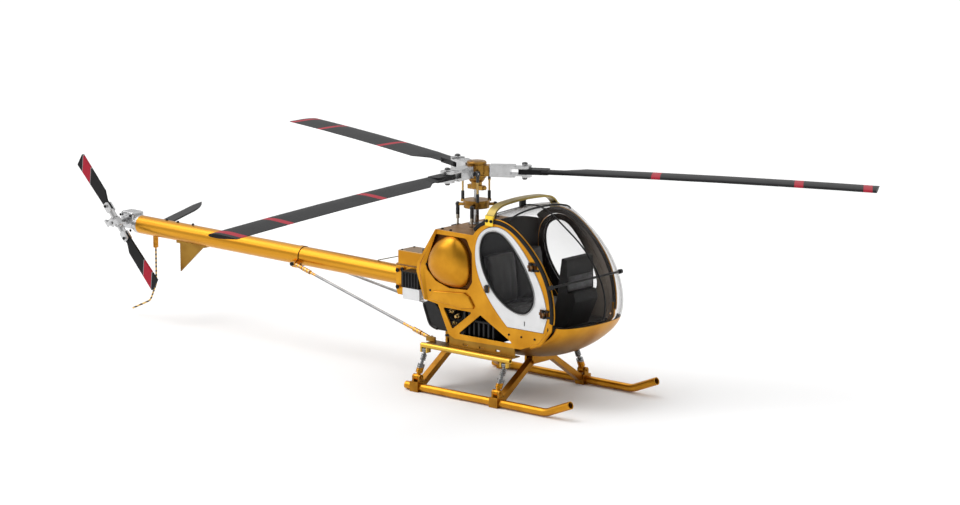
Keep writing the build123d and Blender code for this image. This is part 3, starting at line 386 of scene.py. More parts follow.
def strut_look():
    """Dull silver rod with ribbed gold fittings at both ends."""
    look = Look("strut_silver", (0.5, 0.5, 0.51), metallic=0.9)
    look.tint(look.noise(200, 3, stretch=(0.05, 1, 1)), (0.22, 0.22, 0.22), (0.34, 0.34, 0.34))
    wave = look.node("ShaderNodeTexWave", bands_direction="X")
    wave.inputs["Scale"].default_value = 55
    look.link(look.place, wave.inputs["Vector"])
    reach = look.along((1, 0, 0))
    ends = look.maths("ADD", look.maths("GREATER_THAN", reach, STRUT_FRONT_FITTING),
                      look.maths("LESS_THAN", reach, STRUT_REAR_FITTING))
    ribs = look.maths("MULTIPLY", ends, look.spread(wave.outputs["Fac"], 0.35, 1.0))
    look.over(ribs, GOLD_LIGHT)
    look.rough(look.noise(800, 3), 0.22, 0.36)
    return look.bump(ribs, 0.0003, 0.6).material


def brass_look():
    """Bare brass fittings."""
    look = Look("brass", (0.8, 0.55, 0.2), metallic=1.0)
    look.tint(look.noise(160, 3), (0.62, 0.4, 0.13), (0.86, 0.62, 0.26))
    look.rough(look.noise(900, 3), 0.2, 0.36)
    return look.soft_edges(0.0003).material


def clear_look(name, tint, face_on, edge_on):
    """Thin clear plastic: see-through face on, denser at a grazing angle."""
    look = Look(name, tint)
    weight = look.node("ShaderNodeLayerWeight")
    weight.inputs["Blend"].default_value = 0.35
    grown = look.maths("POWER", weight.outputs["Facing"], 2.5)
    look.link(look.spread(grown, face_on, edge_on), look.shader.inputs["Alpha"])
    look.set("Specular IOR Level", 0.22)
    look.rough(look.noise(55, 3), 0.02, 0.044)
    look.bump(look.noise(24, 2), 0.00006, 0.1)
    look.set("IOR", 1.46)
    look.material.surface_render_method = "BLENDED"
    return look.material


def carbon_blade_look(name, centre, direction, bands, slant=0.0, side=(0, 0, 1), lines=True):
    """Black satin blade with painted red bands, which thin pale lines may edge and which may slant."""
    look = Look(name, (0.022, 0.022, 0.024), roughness=0.45)
    look.tint(look.noise(35, 4), (0.006, 0.006, 0.007), (0.012, 0.012, 0.013))
    reach = look.along(direction, centre)
    if slant:
        reach = look.maths("ADD", reach, look.maths("MULTIPLY", look.along(side, centre), slant))
    for low, high in bands:
        if lines:
            edge = look.between(reach, low - 0.0012, high + 0.0012)
            look.over(edge, (0.25, 0.25, 0.26))
        look.over(look.between(reach, low, high), (0.38, 0.012, 0.03))
    look.rough(look.noise(500, 4), 0.4, 0.55)
    look.soft_edges(0.0005)
    look.bump(look.noise(900, 3), 0.00002, 0.3)
    return look.set("Specular IOR Level", 0.16).material


def skid_wire_look():
    """Wire wrapped in gold and black thread."""
    look = Look("wrapped_wire", (0.55, 0.3, 0.06), roughness=0.5)
    wave = look.node("ShaderNodeTexWave", bands_direction="Z")
    wave.inputs["Scale"].default_value = 62
    wave.inputs["Distortion"].default_value = 3.0
    look.link(look.place, wave.inputs["Vector"])
    look.tint(wave.outputs["Fac"], (0.03, 0.02, 0.015), (0.78, 0.5, 0.14), 0.3, 0.5)
    look.bump(wave.outputs["Fac"], 0.0003, 0.7)
    socket = look.maths("GREATER_THAN", look.along((0, 0, 1)), SKID_SOCKET)
    return look.over(socket, (0.62, 0.27, 0.03)).metal_where(socket, 0.9, 0.0).material


def leather_look():
    """Black seat leather with pores and creases."""
    look = Look("seat_leather", (0.03, 0.029, 0.028), roughness=0.5)
    look.tint(look.noise(60, 4), (0.018, 0.017, 0.016), (0.034, 0.032, 0.030))
    cells = look.node("ShaderNodeTexVoronoi")
    cells.inputs["Scale"].default_value = 900
    look.link(look.place, cells.inputs["Vector"])
    look.rough(look.noise(300, 4), 0.4, 0.6)
    look.bump(cells.outputs["Distance"], 0.00008, 0.6)
    return look.bump(look.noise(90, 4), 0.0003, 0.4).material


GOLD = gold_look().material
GOLD_PLATE = lined_gold_look("gold_plate")
GOLD_SHELL = lined_gold_look("gold_shell", CABIN_MIDDLE)
HANDLE = handle_look()
BOARD = board_look()
RECEIVER = receiver_look()
OLEO = oleo_look()
DIM_GOLD = gold_look("dim_gold", OLIVE_LIGHT, OLIVE_DARK).material
# The legs and crossbeams get a darker copy of the gold: painted shade for the shadow under the body.
SHADED_LEG_GOLD = gold_look("leg_gold_painted_shade", (0.46, 0.21, 0.02), (0.32, 0.135, 0.011)).material
BRONZE = gold_look("bronze_anodised", BRONZE_LIGHT, BRONZE_DARK).material
# Dark bronze serves the hinges and the boom's joint line, and as painted shade on the sheet behind each tank
# opening.
DARK_BRONZE = gold_look("dark_bronze", (0.10, 0.035, 0.006), (0.05, 0.017, 0.004)).material
GOLD_BOOM = boom_look()
BROWN = brown_look()
SILVER = silver_look().material
PALE_BLOCK = white_look("pale_block", lined=False)
STEEL = silver_look("ground_steel", 0.42, 0.16, 0.28).material
BLACK_METAL = dark_look("black_metal", 0.012, 0.28, 0.4)
BLACK_PLASTIC = dark_look("black_plastic", 0.010, 0.4, 0.58)
FIN_BLACK = dark_look("fin_black", 0.014, 0.25, 0.42)
RUBBER = dark_look("black_rubber", 0.011, 0.6, 0.8, grain=0.00004)
COVER_GREY = dark_look("cover_grey", 0.075, 0.35, 0.5)
WHITE = white_look()
BRASS = brass_look()
CLEAR = clear_look("clear_canopy", (0.055, 0.042, 0.034), 0.02, 0.92)
TINTED = clear_look("tinted_window", (0.10, 0.10, 0.105), 0.08, 0.5)
LINK = two_part_look("link_brass", LINK_METAL, (0.55, 0.36, 0.12))
PUSHROD = two_part_look("pushrod_silver", PUSHROD_METAL, (0.5, 0.47, 0.4))
STRUT = strut_look()
LEATHER = leather_look()
WIRE = skid_wire_look()


def dress(material, *names):
    """Give CAD nodes their finish."""
    for name in names:
        mesh = nodes[name].data
        mesh.materials.clear()
        mesh.materials.append(material)


def both(name):
    """The right and left names of a paired node."""
    return f"{name}_right", f"{name}_left"


dress(GOLD, "fuel_tanks", "boom_clamps", *both("skid_tube"))
dress(RECEIVER, "receiver_box")
dress(DIM_GOLD, "ventral_fin")
dress(SHADED_LEG_GOLD, "gear_crossbeams", *both("gear_legs"))
dress(BOARD, "step_boards")
dress(BRONZE, "rotor_hub", "upper_swash_ring", "lower_swash_ring")
dress(OLEO, *both("oleo_rods"), *both("oleo_cylinders"))
dress(PALE_BLOCK, "muffler")
dress(GOLD_PLATE, *both("side_plate"))
dress(GOLD_SHELL, "belly_shell")
dress(HANDLE, "roof_handle")
dress(LINK, "grip_links")
dress(PUSHROD, "pushrods")
dress(STRUT, "boom_struts")
dress(GOLD_BOOM, "boom_tube")
dress(BROWN, "mast_decks")
dress(SILVER, "tail_gearbox", "tail_pitch_slider", "tail_blade_grip_1",
      "tail_blade_grip_2", "blade_grip_1", "blade_grip_2", "blade_grip_3")
dress(STEEL, "rotor_mast", "tail_shaft", "tail_rotor_hub", "shaft_bearings")
dress(BLACK_METAL, "cross_rod", "door_hinges", "stabiliser", "motor")
dress(BLACK_PLASTIC, "servos", "instrument_console", "frame_panels",
      "battery_pack", "main_gear")
dress(FIN_BLACK, "engine_cooling")
dress(WHITE, *both("door"))
dress(TINTED, *both("door_window"))
dress(CLEAR, "canopy")
dress(WIRE, "tail_skid")

for number, azimuth in enumerate(ARM_AZIMUTHS, 1):
    out = (cos(radians(azimuth)), sin(radians(azimuth)), 0)
    dress(carbon_blade_look(f"main_blade_paint_{number}", HUB, out, BLADE_BANDS, lines=False),
          f"main_blade_{number}")
for number, turn in ((1, 0), (2, pi)):
    angle = TAIL_BLADE_ANGLE + turn
    out = (cos(angle), 0, sin(angle))
    across = (-sin(angle), 0, cos(angle))
    paint = carbon_blade_look(f"tail_blade_paint_{number}", TAIL_HUB, out, TAIL_BLADE_BANDS, TAIL_BAND_SLANT,
                              across)
    dress(paint, f"tail_blade_{number}")


# ---------------------------------------------------------------- building helpers
def surface_of(node):
    """Search tree of a CAD node's surface."""
    mesh = nodes[node].data
    return BVHTree.FromPolygons([v.co for v in mesh.vertices], [p.vertices for p in mesh.polygons])


def add_mesh(name, bm, body, material, crease=35):
    """Finish a bmesh as a smooth-shaded piece on a body."""
    bmesh.ops.recalc_face_normals(bm, faces=bm.faces)
    mesh = bpy.data.meshes.new(name)
    bm.to_mesh(mesh)
    bm.free()
    mesh.materials.append(material)
    mesh.shade_smooth()
    mesh.set_sharp_from_angle(angle=radians(crease))
    piece = bpy.data.objects.new(name, mesh)
    bpy.context.scene.collection.objects.link(piece)
    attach(piece, body)
    return piece


def add_tube(name, points, radius, body, material, closed=False):
    """Round bar along a smooth line of points."""
    curve = bpy.data.curves.new(name, "CURVE")
    curve.dimensions = "3D"
    curve.bevel_depth = radius
    curve.bevel_resolution = 5
    curve.use_fill_caps = not closed
    spline = curve.splines.new("POLY")
    spline.points.add(len(points) - 1)
    for spot, point in zip(spline.points, points):
        spot.co = (*point, 1)
    spline.use_cyclic_u = closed
    spline.use_smooth = True
    curve.materials.append(material)
    piece = bpy.data.objects.new(name, curve)
    bpy.context.scene.collection.objects.link(piece)
    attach(piece, body)


def standing(place, axis):
    """Matrix that puts the local Z axis along an axis, at a place."""
    return Matrix.Translation(place) @ Vector(axis).to_track_quat("Z", "Y").to_matrix().to_4x4()


def skin(bm, rings):
    """Faces between closed rings of vertices, and a cap at both ends."""
    for near, far in zip(rings, rings[1:]):
        for k in range(len(near)):
            after = (k + 1) % len(near)
            bm.faces.new((near[k], near[after], far[after], far[k]))
    bm.faces.new(rings[0][::-1])
    bm.faces.new(rings[-1])


def turned(bm, profile, place, axis, segments):
    """Add a turned shape: (radius, height) rings about an axis, closed at both ends."""
    matrix = standing(place, axis)
    turns = [2 * pi * k / segments for k in range(segments)]
    rings = []
    for radius, height in profile:
        ring = [Vector((radius * cos(turn), radius * sin(turn), height)) for turn in turns]
        rings.append([bm.verts.new(matrix @ point) for point in ring])
    skin(bm, rings)


def screw(bm, place, axis, radius, height):
    """Button head with a hexagonal socket."""
    matrix = standing(place, axis)
    count = 12
    profile = [(1.0, 0.0, False), (1.0, 0.45, False), (0.8, 0.85, False), (0.58, 1.0, False),
               (0.5, 1.0, True), (0.5, 0.35, True)]
    rings = []
    for share, level, hexed in profile:
        ring = []
        for k in range(count):
            turn = 2 * pi * k / count
            reach = radius * share * (cos(pi / 6) if hexed and k % 2 else 1.0)
            ring.append(bm.verts.new(matrix @ Vector((reach * cos(turn), reach * sin(turn), height * level))))
        rings.append(ring)
    skin(bm, rings)


def box_into(bm, low, high, round_edge):
    """Box between two corners with small rounded edges."""
    low, high = Vector(low), Vector(high)
    made = bmesh.ops.create_cube(bm, size=1)["verts"]
    for vert in made:
        vert.co = Vector((low[i] + (high[i] - low[i]) * (vert.co[i] + 0.5) for i in range(3)))
    edges = list({edge for vert in made for edge in vert.link_edges})
    bmesh.ops.bevel(bm, geom=edges, offset=round_edge, segments=2, affect="EDGES", profile=0.5)


def box_on_door(bm, side, x_span, z_span, lifts, round_edge):
    """Rounded box in front of a door's face, between two heights above it."""
    y_span = sorted(side * (DOOR_FACE + lift) for lift in lifts)
    box_into(bm, (x_span[0], y_span[0], z_span[0]), (x_span[1], y_span[1], z_span[1]), round_edge)


def in_plane(points, y):
    """Points in metres from X-Z points in millimetres, at one Y."""
    return [Vector((x * MM, y, z * MM)) for x, z in points]


def slab_into(bm, outline, y_out, y_in, round_edge=0.0005):
    """Plate from an X-Z outline in millimetres, its outer face rounded at the rim."""
    outer = [bm.verts.new(point) for point in in_plane(outline, y_out)]
    inner = [bm.verts.new(point) for point in in_plane(outline, y_in)]
    front = bm.faces.new(outer)
    bm.faces.new(inner[::-1])
    for k in range(len(outline)):
        after = (k + 1) % len(outline)
        bm.faces.new((outer[k], inner[k], inner[after], outer[after]))
    bmesh.ops.bevel(bm, geom=list(front.edges), offset=round_edge, segments=3, affect="EDGES", profile=0.5)


def smooth_loop(points, count, closed=True):
    """Even points on a smooth curve through a few X-Z points (Catmull-Rom)."""
    total = len(points)
    spans = total if closed else total - 1
    result = []
    for step in range(count):
        at = step * spans / count if closed else step * spans / (count - 1)
        base = min(int(at), spans - 1)
        t = at - base
        pick = [points[(base + k) % total] if closed else points[max(0, min(total - 1, base + k))]
                for k in (-1, 0, 1, 2)]
        blend = []
        for a, b, c, d in zip(*pick):
            square, cube = 2 * a - 5 * b + 4 * c - d, 3 * b - a - 3 * c + d
            blend.append(0.5 * (2 * b + (c - a) * t + square * t * t + cube * t ** 3))
        result.append(tuple(blend))
    return result


# ---------------------------------------------------------------- canopy trim
def edge_point(tree, angle, y, reach=0.2):
    """Outermost point of a node at an angle about the cabin's middle, in the X-Z plane at y."""
    out = Vector((cos(angle), 0, sin(angle)))
    start = CABIN_MIDDLE + out * reach + Vector((0, y, 0))
    found = tree.ray_cast(start, -out)
    return found[0]


HOOP_HALF_WIDTH = 0.0528


def canopy_ribs():
    """Centre strip from the roof to the chin, and two hoops over the roof."""
    glass = surface_of("canopy")
    strip = []
    for step in range(49):
        angle = radians(118 - step * 136 / 48)
        point = edge_point(glass, angle, 0)
        if point is not None:
            strip.append(point)
    add_tube("canopy_centre_rib", strip, 0.0009, "airframe", BLACK_PLASTIC)
    for name, x, radius in (("canopy_front_hoop", 0.0935, 0.0011), ("canopy_rear_hoop", 0.060, 0.0006)):
        hoop = []
        for step in range(37):
            y = HOOP_HALF_WIDTH * (step / 18 - 1)
            found = glass.ray_cast(Vector((x, y, 0.24)), Vector((0, 0, -1)))
            if found[0] is not None:
                hoop.append(found[0])
        add_tube(name, hoop, radius, "airframe", BLACK_PLASTIC)


def outward(point):
    """Direction from the cabin's middle to a point, in the X-Z plane."""
    return Vector((point.x - CABIN_MIDDLE.x, 0, point.z - CABIN_MIDDLE.z)).normalized()


SEAL_PROFILE = ((0.0000, 0.0010), (0.0004, 0.0016), (0.0036, 0.0016), (0.0042, 0.0004), (0.0042, -0.0026),
                (0.0000, -0.0026))         # outwards and sideways from the plate's edge


def canopy_seals():
    """Rubber seal round each door frame, a gold bead outside it and a rounded edge below it."""
    for side, word in ((RIGHT, "right"), (LEFT, "left")):
        plate = surface_of(f"side_plate_{word}")
        rim = []
        for step in range(61):
            angle = radians(130 - step * 155 / 60)
            point = edge_point(plate, angle, side * (PLATE_FACE - 0.001))
            if point is not None:
                rim.append((point, outward(point)))
        bm = bmesh.new()
        skin(bm, [[bm.verts.new(point + out * shift + Vector((0, side * (0.001 + lift), 0)))
                   for shift, lift in SEAL_PROFILE] for point, out in rim])
        add_mesh(f"canopy_seal_{word}", bm, "airframe", RUBBER, 50)
        strip = []
        for step in range(25):
            point = edge_point(plate, radians(-19 - step * 46 / 24), side * (PLATE_FACE - 0.001))
            strip.append(point + outward(point) * 0.0008)
        add_tube(f"sill_edge_{word}", strip, 0.0024, "airframe", GOLD)
        bead = [point + out * 0.0049 - Vector((0, side * 0.0004, 0)) for point, out in rim[8:]]
        add_tube(f"canopy_bead_{word}", bead, 0.0007, "airframe", GOLD)


def door_trim():
    """Gasket and silver ring round each door window, the latch, the hinges' leaves and the catch slot."""
    for side, word, body in ((RIGHT, "right", "door_r"), (LEFT, "left", "door_l")):
        pane = surface_of(f"door_window_{word}")
        low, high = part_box(f"door_window_{word}")
        middle = (low + high) / 2
        face = side * DOOR_FACE
        gasket, trim = [], []
        for step in range(72):
            angle = 2 * pi * step / 72
            out = Vector((cos(angle), 0, sin(angle)))
            found = pane.ray_cast(middle + out * 0.09, -out)[0]
            rim = Vector((found.x, face, found.z))
            gasket.append(rim - out * 0.0013)
            trim.append(rim + out * 0.0006)
        add_tube(f"window_gasket_{word}", gasket, 0.0012, body, RUBBER, closed=True)
        add_tube(f"window_trim_{word}", trim, 0.0008, body, STEEL, closed=True)
        bm = bmesh.new()
        box_on_door(bm, side, (0.0620, 0.0668), (0.1215, 0.1305), (0, 0.0022), 0.0007)
        screw(bm, Vector((0.0644, face + side * 0.0020, 0.1235)), (0, side, 0), 0.0013, 0.0006)
        add_mesh(f"door_latch_{word}", bm, body, BLACK_METAL)
        leaves, pads = bmesh.new(), bmesh.new()
        for z in HINGE_HEIGHTS:
            x = HINGE_LINE_X - (z - HINGE_HEIGHTS[0]) * HINGE_LEAN
            z_span = (z - 0.0050, z + 0.0050)
            box_on_door(leaves, side, (x - 0.0052, x - 0.0004), z_span, (0.0006, 0.0019), 0.0004)
            for lift in (-0.0026, 0.0026):
                spot = Vector((x - 0.0032, face + side * 0.0018, z + lift))
                screw(leaves, spot, (0, side, 0), 0.0010, 0.0006)
            box_on_door(pads, side, (x + 0.0014, x + 0.0052), z_span, (0, 0.0010), 0.0004)
        add_mesh(f"door_hinge_leaf_{word}", leaves, body, DARK_BRONZE)
        add_mesh(f"door_hinge_pad_{word}", pads, "airframe", DARK_BRONZE)
        bm = bmesh.new()
        box_on_door(bm, side, (0.1176, 0.1183), (0.0915, 0.0965), (0, 0.0006), 0.0002)
        add_mesh(f"door_catch_slot_{word}", bm, body, BLACK_METAL)


# ---------------------------------------------------------------- cabin interior
SEAT_CHANNELS = (-0.33, 0.33)              # shares of a cushion's half length


def cushion(name, low, high, tilt):
    """Crowned leather cushion between two corners, with stitched channels across it."""
    middle = (Vector(low) + Vector(high)) / 2
    half = (Vector(high) - Vector(low)) / 2
    thin = min(range(3), key=lambda axis: half[axis])
    long_axis, wide_axis = [axis for axis in range(3) if axis != thin]
    bm = bmesh.new()
    bmesh.ops.create_cube(bm, size=2)
    bmesh.ops.subdivide_edges(bm, edges=bm.edges[:], cuts=20, use_grid_fill=True)
    turn = Matrix.Rotation(radians(tilt), 3, "Y")
    for vert in bm.verts:
        unit = vert.co.copy()
        u, v, w = unit[long_axis], unit[wide_axis], unit[thin]
        edge = (1 - abs(u) ** 7) * (1 - abs(v) ** 7)
        crown = 0.62 + 0.38 * (1 - u * u) * (1 - v * v)
        seams = sum(exp(-((u - channel) / 0.055) ** 2) for channel in SEAT_CHANNELS)
        share = w * (0.30 + 0.70 * edge ** 0.5) * crown * (1 - 0.14 * seams)
        place = Vector()
        place[long_axis] = u * half[long_axis] * (1 - 0.03 * v ** 4)
        place[wide_axis] = v * half[wide_axis] * (1 - 0.03 * u ** 4)
        place[thin] = share * half[thin]
        vert.co = middle + turn @ place
    piece = add_mesh(name, bm, "airframe", LEATHER, 80)
    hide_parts("seat_bench")


def seats():
    """Two seats side by side: a squab and a back cushion each, on one thin moulded shell."""
    for side, word in ((RIGHT, "right"), (LEFT, "left")):
        y_low, y_high = sorted((side * 0.0025, side * 0.0445))
        cushion(f"seat_squab_{word}", (0.068, y_low, 0.0895), (0.1055, y_high, 0.1075), 2)
        cushion(f"seat_back_{word}", (0.0500, y_low, 0.1045), (0.0665, y_high, 0.1595), -6)
    bm = bmesh.new()
    box_into(bm, (0.0475, -0.0455, 0.0875), (0.1060, 0.0455, 0.0905), 0.0012)
    box_into(bm, (0.0465, -0.0455, 0.0900), (0.0495, 0.0455, 0.1590), 0.0012)
    shell = add_mesh("seat_shell", bm, "airframe", BLACK_PLASTIC)
    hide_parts("seat_bench")


def instruments():
    """Plain dials on the crew's side of the console and a lighter cover on its front."""
    bezels, faces = bmesh.new(), bmesh.new()
    bezel = ((0.0048, 0.0), (0.0048, 0.0011), (0.0040, 0.0014), (0.0037, 0.0006))
    axis = (-1, 0, CONSOLE_LEAN)
    for height in (0.1365, 0.1485):
        x = CONSOLE_FACE_X + (height - CONSOLE_FACE_Z) * CONSOLE_LEAN
        for y in (-0.0145, 0.0, 0.0145):
            place = Vector((x, y, height))
            turned(bezels, bezel, place, axis, 24)
            turned(faces, ((0.0036, 0.0006), (0.0033, 0.0009)), place, axis, 24)
    add_mesh("instrument_bezels", bezels, "airframe", STEEL)
    add_mesh("instrument_faces", faces, "airframe", FIN_BLACK)
    bm = bmesh.new()
    box_into(bm, (0.1505, -0.0205, 0.1290), (0.1514, 0.0205, 0.1455), 0.0005)
    for y in (-0.0185, 0.0185):
        for z in (0.131, 0.1435):
            screw(bm, Vector((0.1514, y, z)), (1, 0, 0), 0.0010, 0.0006)
    add_mesh("instrument_cover", bm, "airframe", COVER_GREY)


# ---------------------------------------------------------------- cowl, tanks and fasteners
# X-Z outlines in millimetres; the tank's is about TANK_MIDDLE.
TANK_MIDDLE = (8, 149)
TANK_OUTLINE = [(0, 29.2), (-15, 23), (-26, 9.5), (-30, -5), (-24, -17), (-11, -25), (6, -27.8), (21, -25.8),
                (28, -17), (29.5, -2), (25, 16), (14, 26.8)]
TANK_BAY = [(-13, 179.5), (34, 179.5), (43, 163), (43, 129), (36, 119), (8, 117.5), (-12, 123), (-27, 135),
            (-30, 144)]
COWL_PANEL = [(-15, 113), (31, 117), (38, 113.5), (45, 103.5), (44, 100.5), (29, 98.4), (-20, 103)]
COWL_RIM = [(-13, 183.4), (-40, 142), (-41, 132), (-30, 101.8)]
COWL_RIM_WIDTH = (3, 13, 13, 6)
COWL_RIM_FOLDS = ((0, -0.0026), (0.62, 0.0026), (1.0, -0.0002))    # share of the width, and height in metres


def tank_covers():
    """Egg-shaped gold domes standing out of the openings."""
    outline = smooth_loop(TANK_OUTLINE, 64)
    dome = [(cos(radians(turn)) ** 0.8, 54 + 15 * sin(radians(turn))) for turn in range(0, 88, 6)]
    rings = [(1.0, 44)] + dome             # share of the outline, and millimetres from the middle plane
    for side, word in ((RIGHT, "right"), (LEFT, "left")):
        bm = bmesh.new()
        made = []
        for share, depth in rings:
            ring = [(TANK_MIDDLE[0] + x * share, TANK_MIDDLE[1] + z * share) for x, z in outline]
            made.append([bm.verts.new(point) for point in in_plane(ring, side * depth * MM)])
        skin(bm, made)
        cover = add_mesh(f"tank_cover_{word}", bm, "airframe", GOLD, 60)
        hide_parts("fuel_tanks")


def cowl_panels():
    """Raised lower panel, folded rear rim, and a dark bronze sheet behind the tank opening as painted shade
    round the dome.
    """
    for side, word in ((RIGHT, "right"), (LEFT, "left")):
        bm = bmesh.new()
        face = side * PLATE_FACE
        slab_into(bm, COWL_PANEL, face + side * 0.0026, face - side * 0.0004, 0.0014)
        strips = []
        for share, lift in COWL_RIM_FOLDS:
            line = [(x + share * width, z) for (x, z), width in zip(COWL_RIM, COWL_RIM_WIDTH)]
            strips.append([bm.verts.new(point) for point in in_plane(line, face + side * lift)])
        for near, far in zip(strips, strips[1:]):
            for k in range(len(COWL_RIM) - 1):
                bm.faces.new((near[k], near[k + 1], far[k + 1], far[k]))
        add_mesh(f"cowl_panel_{word}", bm, "airframe", GOLD, 20)
        # Painted shade: a dark bronze sheet behind the opening stands in for the shaded gap round the tank
        # dome.
        bm = bmesh.new()
        slab_into(bm, TANK_BAY, face - side * 0.0024, face - side * 0.0040)
        add_mesh(f"tank_bay_shade_sheet_{word}", bm, "airframe", DARK_BRONZE)


# Screw places in millimetres: X-Z on the sides, the boom clamps and the tail gearbox, X-Y on the deck and
# the receiver, and X along the handle's brackets and the top of the boom.
SIDE_SCREWS = ((-25.8, 141.9), (-20.4, 113), (113, 78.3), (132, 78.3), (95.2, 78.5), (151, 90.5))
CLAMP_SCREWS = ((-105.6, 118.5), (-98, 120.4), (-105.6, 99))
DECK_SCREWS = ((-9, -48), (-9, 48), (4.8, -50), (4.8, 50), (38, -40), (38, 40), (-9, 0), (30, -22), (30, 22))
RECEIVER_SCREWS = ((-103, -10.5), (-48, -10.5), (-103, 10.5), (-48, 10.5))
GEARBOX_SCREWS = ((-566, 108.5), (-566, 126.5), (-549, 108.5), (-549, 126.5))
HANDLE_BOLTS, HANDLE_SCREWS = (64.2, 70.6), (60.5, 74.5)
BOOM_SCREWS = (-452, -497, -478)


def fasteners():
    """Black button screws on the frame, handle, boom clamps, deck, boom, gearbox and receiver."""
    bm = bmesh.new()
    for side in (RIGHT, LEFT):
        for x, z in SIDE_SCREWS:
            screw(bm, Vector((x * MM, side * PLATE_FACE, z * MM)), (0, side, 0), 0.0013, 0.0009)
        for x in HANDLE_BOLTS:
            screw(bm, Vector((x * MM, side * (PLATE_FACE + 0.002), 0.2028)), (0, side, 0), 0.0019, 0.0014)
        for x in HANDLE_SCREWS:
            screw(bm, Vector((x * MM, side * (PLATE_FACE + 0.0016), 0.2022)), (0, side, 0), 0.0012, 0.0008)
        for x, z in CLAMP_SCREWS:
            screw(bm, Vector((x * MM, side * 0.0158, z * MM)), (0, side, 0), 0.0026, 0.0014)
    deck_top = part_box("mast_decks")[1].z
    for x, y in DECK_SCREWS:
        screw(bm, Vector((x * MM, y * MM, deck_top)), (0, 0, 1), 0.0017, 0.0012)
    for x in BOOM_SCREWS:
        screw(bm, Vector((x * MM, 0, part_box("boom_tube")[1].z - 0.0006)), (0, 0, 1), 0.0018, 0.0014)
    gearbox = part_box("tail_gearbox")
    for x, z in GEARBOX_SCREWS:
        screw(bm, Vector((x * MM, gearbox[0].y + 0.0035, z * MM)), (0, -1, 0), 0.0017, 0.0012)
    for x, y in RECEIVER_SCREWS:
        screw(bm, Vector((x * MM, y * MM, 0.1420)), (0, 0, 1), 0.0012, 0.0008)
    add_mesh("frame_screws", bm, "airframe", BLACK_METAL)


def rotor_bolts():
    """Black bolt heads and nuts on the main blade grips and on the tail grips."""
    for number, azimuth in enumerate(ARM_AZIMUTHS, 1):
        spot = HUB + BLADE_BOLT_REACH * Vector((cos(radians(azimuth)), sin(radians(azimuth)), 0))
        bm = bmesh.new()
        screw(bm, spot + Vector((0, 0, GRIP_HALF_HEIGHT)), (0, 0, 1), 0.0034, 0.0020)
        screw(bm, spot - Vector((0, 0, GRIP_HALF_HEIGHT)), (0, 0, -1), 0.0029, 0.0020)
        add_mesh(f"blade_bolt_{number}", bm, f"grip_{number}", BLACK_METAL)
    for number, turn in ((1, 0), (2, pi)):
        angle = TAIL_BLADE_ANGLE + turn
        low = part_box(f"tail_blade_grip_{number}")[0].y
        spot = Vector((TAIL_HUB.x + TAIL_BOLT_REACH * cos(angle), low + 0.0002,
                       TAIL_HUB.z + TAIL_BOLT_REACH * sin(angle)))
        bm = bmesh.new()
        screw(bm, spot, (0, -1, 0), 0.0020, 0.0014)
        add_mesh(f"tail_blade_bolt_{number}", bm, f"tail_grip_{number}", BLACK_METAL)


def servo_ribs():
    """Upright ribs on the case of the tail servo."""
    bm = bmesh.new()
    first, pitch, width = -0.0855, 0.0045, 0.0018
    for step in range(6):
        x = first + pitch * step
        box_into(bm, (x, -0.0302, 0.1040), (x + width, -0.0288, 0.1205), 0.0003)
    add_mesh("tail_servo_ribs", bm, "airframe", BLACK_METAL)


def boom_joint():
    """Dark joint line round the boom's collar, and the black bolts of the struts."""
    tube = surface_of("boom_tube")
    ring = []
    for step in range(40):
        out = Vector((0, cos(2 * pi * step / 40), sin(2 * pi * step / 40)))
        found = tube.ray_cast(BOOM_JOINT + out * 0.03, -out)
        ring.append(found[0] + out * 0.0001)
    add_tube("boom_joint_line", ring, 0.0006, "airframe", DARK_BRONZE, closed=True)
    bm = bmesh.new()
    for side in (RIGHT, LEFT):
        screw(bm, Vector((-0.2705, side * 0.0182, 0.1042)), (0, side, 0), 0.0024, 0.0016)
    add_mesh("strut_bolts", bm, "airframe", BLACK_METAL)


def scoop_rim():
    """Thick rolled rim round the mouth of the scoop."""
    half_width, radius = 0.0395, 0.0019
    side_line = smooth_loop(((-44, 91), (-39.5, 80), (-34, 69), (-24, 65.5)), 14, closed=False)
    for side, word in ((RIGHT, "right"), (LEFT, "left")):
        add_tube(f"scoop_rim_{word}", in_plane(side_line, side * half_width), radius, "airframe", FIN_BLACK)
    top = [in_plane(side_line[:1], half_width * (step / 4 - 1))[0] for step in range(9)]
    add_tube("scoop_rim_top", top, radius, "airframe", FIN_BLACK)


def engine_fittings():
    """Brass fittings and a fuel line seen in the rear bay of the frame."""
    bm = bmesh.new()
    for x, z in ((4, 91), (12, 86), (9, 78)):
        turned(bm, ((0.0026, 0.0), (0.0026, 0.003), (0.0019, 0.0034), (0.0019, 0.006), (0.0012, 0.0066)),
               Vector((x * MM, -0.0440, z * MM)), (0, -1, 0), 12)
    add_mesh("engine_fittings", bm, "airframe", BRASS)
    line = smooth_loop(((22, 92), (20, 84), (13, 80), (2, 84)), 16, closed=False)
    add_tube("engine_fuel_line", in_plane(line, -0.0470), 0.0011, "airframe", RUBBER)


canopy_ribs()
canopy_seals()
door_trim()
tank_covers()
cowl_panels()
fasteners()
rotor_bolts()
servo_ribs()
boom_joint()
scoop_rim()
engine_fittings()
seats()
instruments()

# ---------------------------------------------------------------- camera, light and floor
CAMERA_TURN, CAMERA_DOWN, CAMERA_ROLL = radians(40.426), radians(11.153), radians(0.133)
CAMERA_PLACE = Vector((2.5347, -2.9693, 0.9200))
CAMERA_LENS = 132.07


CAMERA_SIDE = (0.65, -0.76, 0)             # level direction from the model towards the camera
WALL_LIGHT, CEILING_LIGHT = 0.62, 1.1
FRONT_SHARE = 0.25                         # share of the light left in the zone behind the camera
SUN_POWER, SUN_WIDTH = 0.95, radians(38)
SUN_SIDE = Vector((-0.55, -0.30, 1.0))     # direction from the model towards the sun


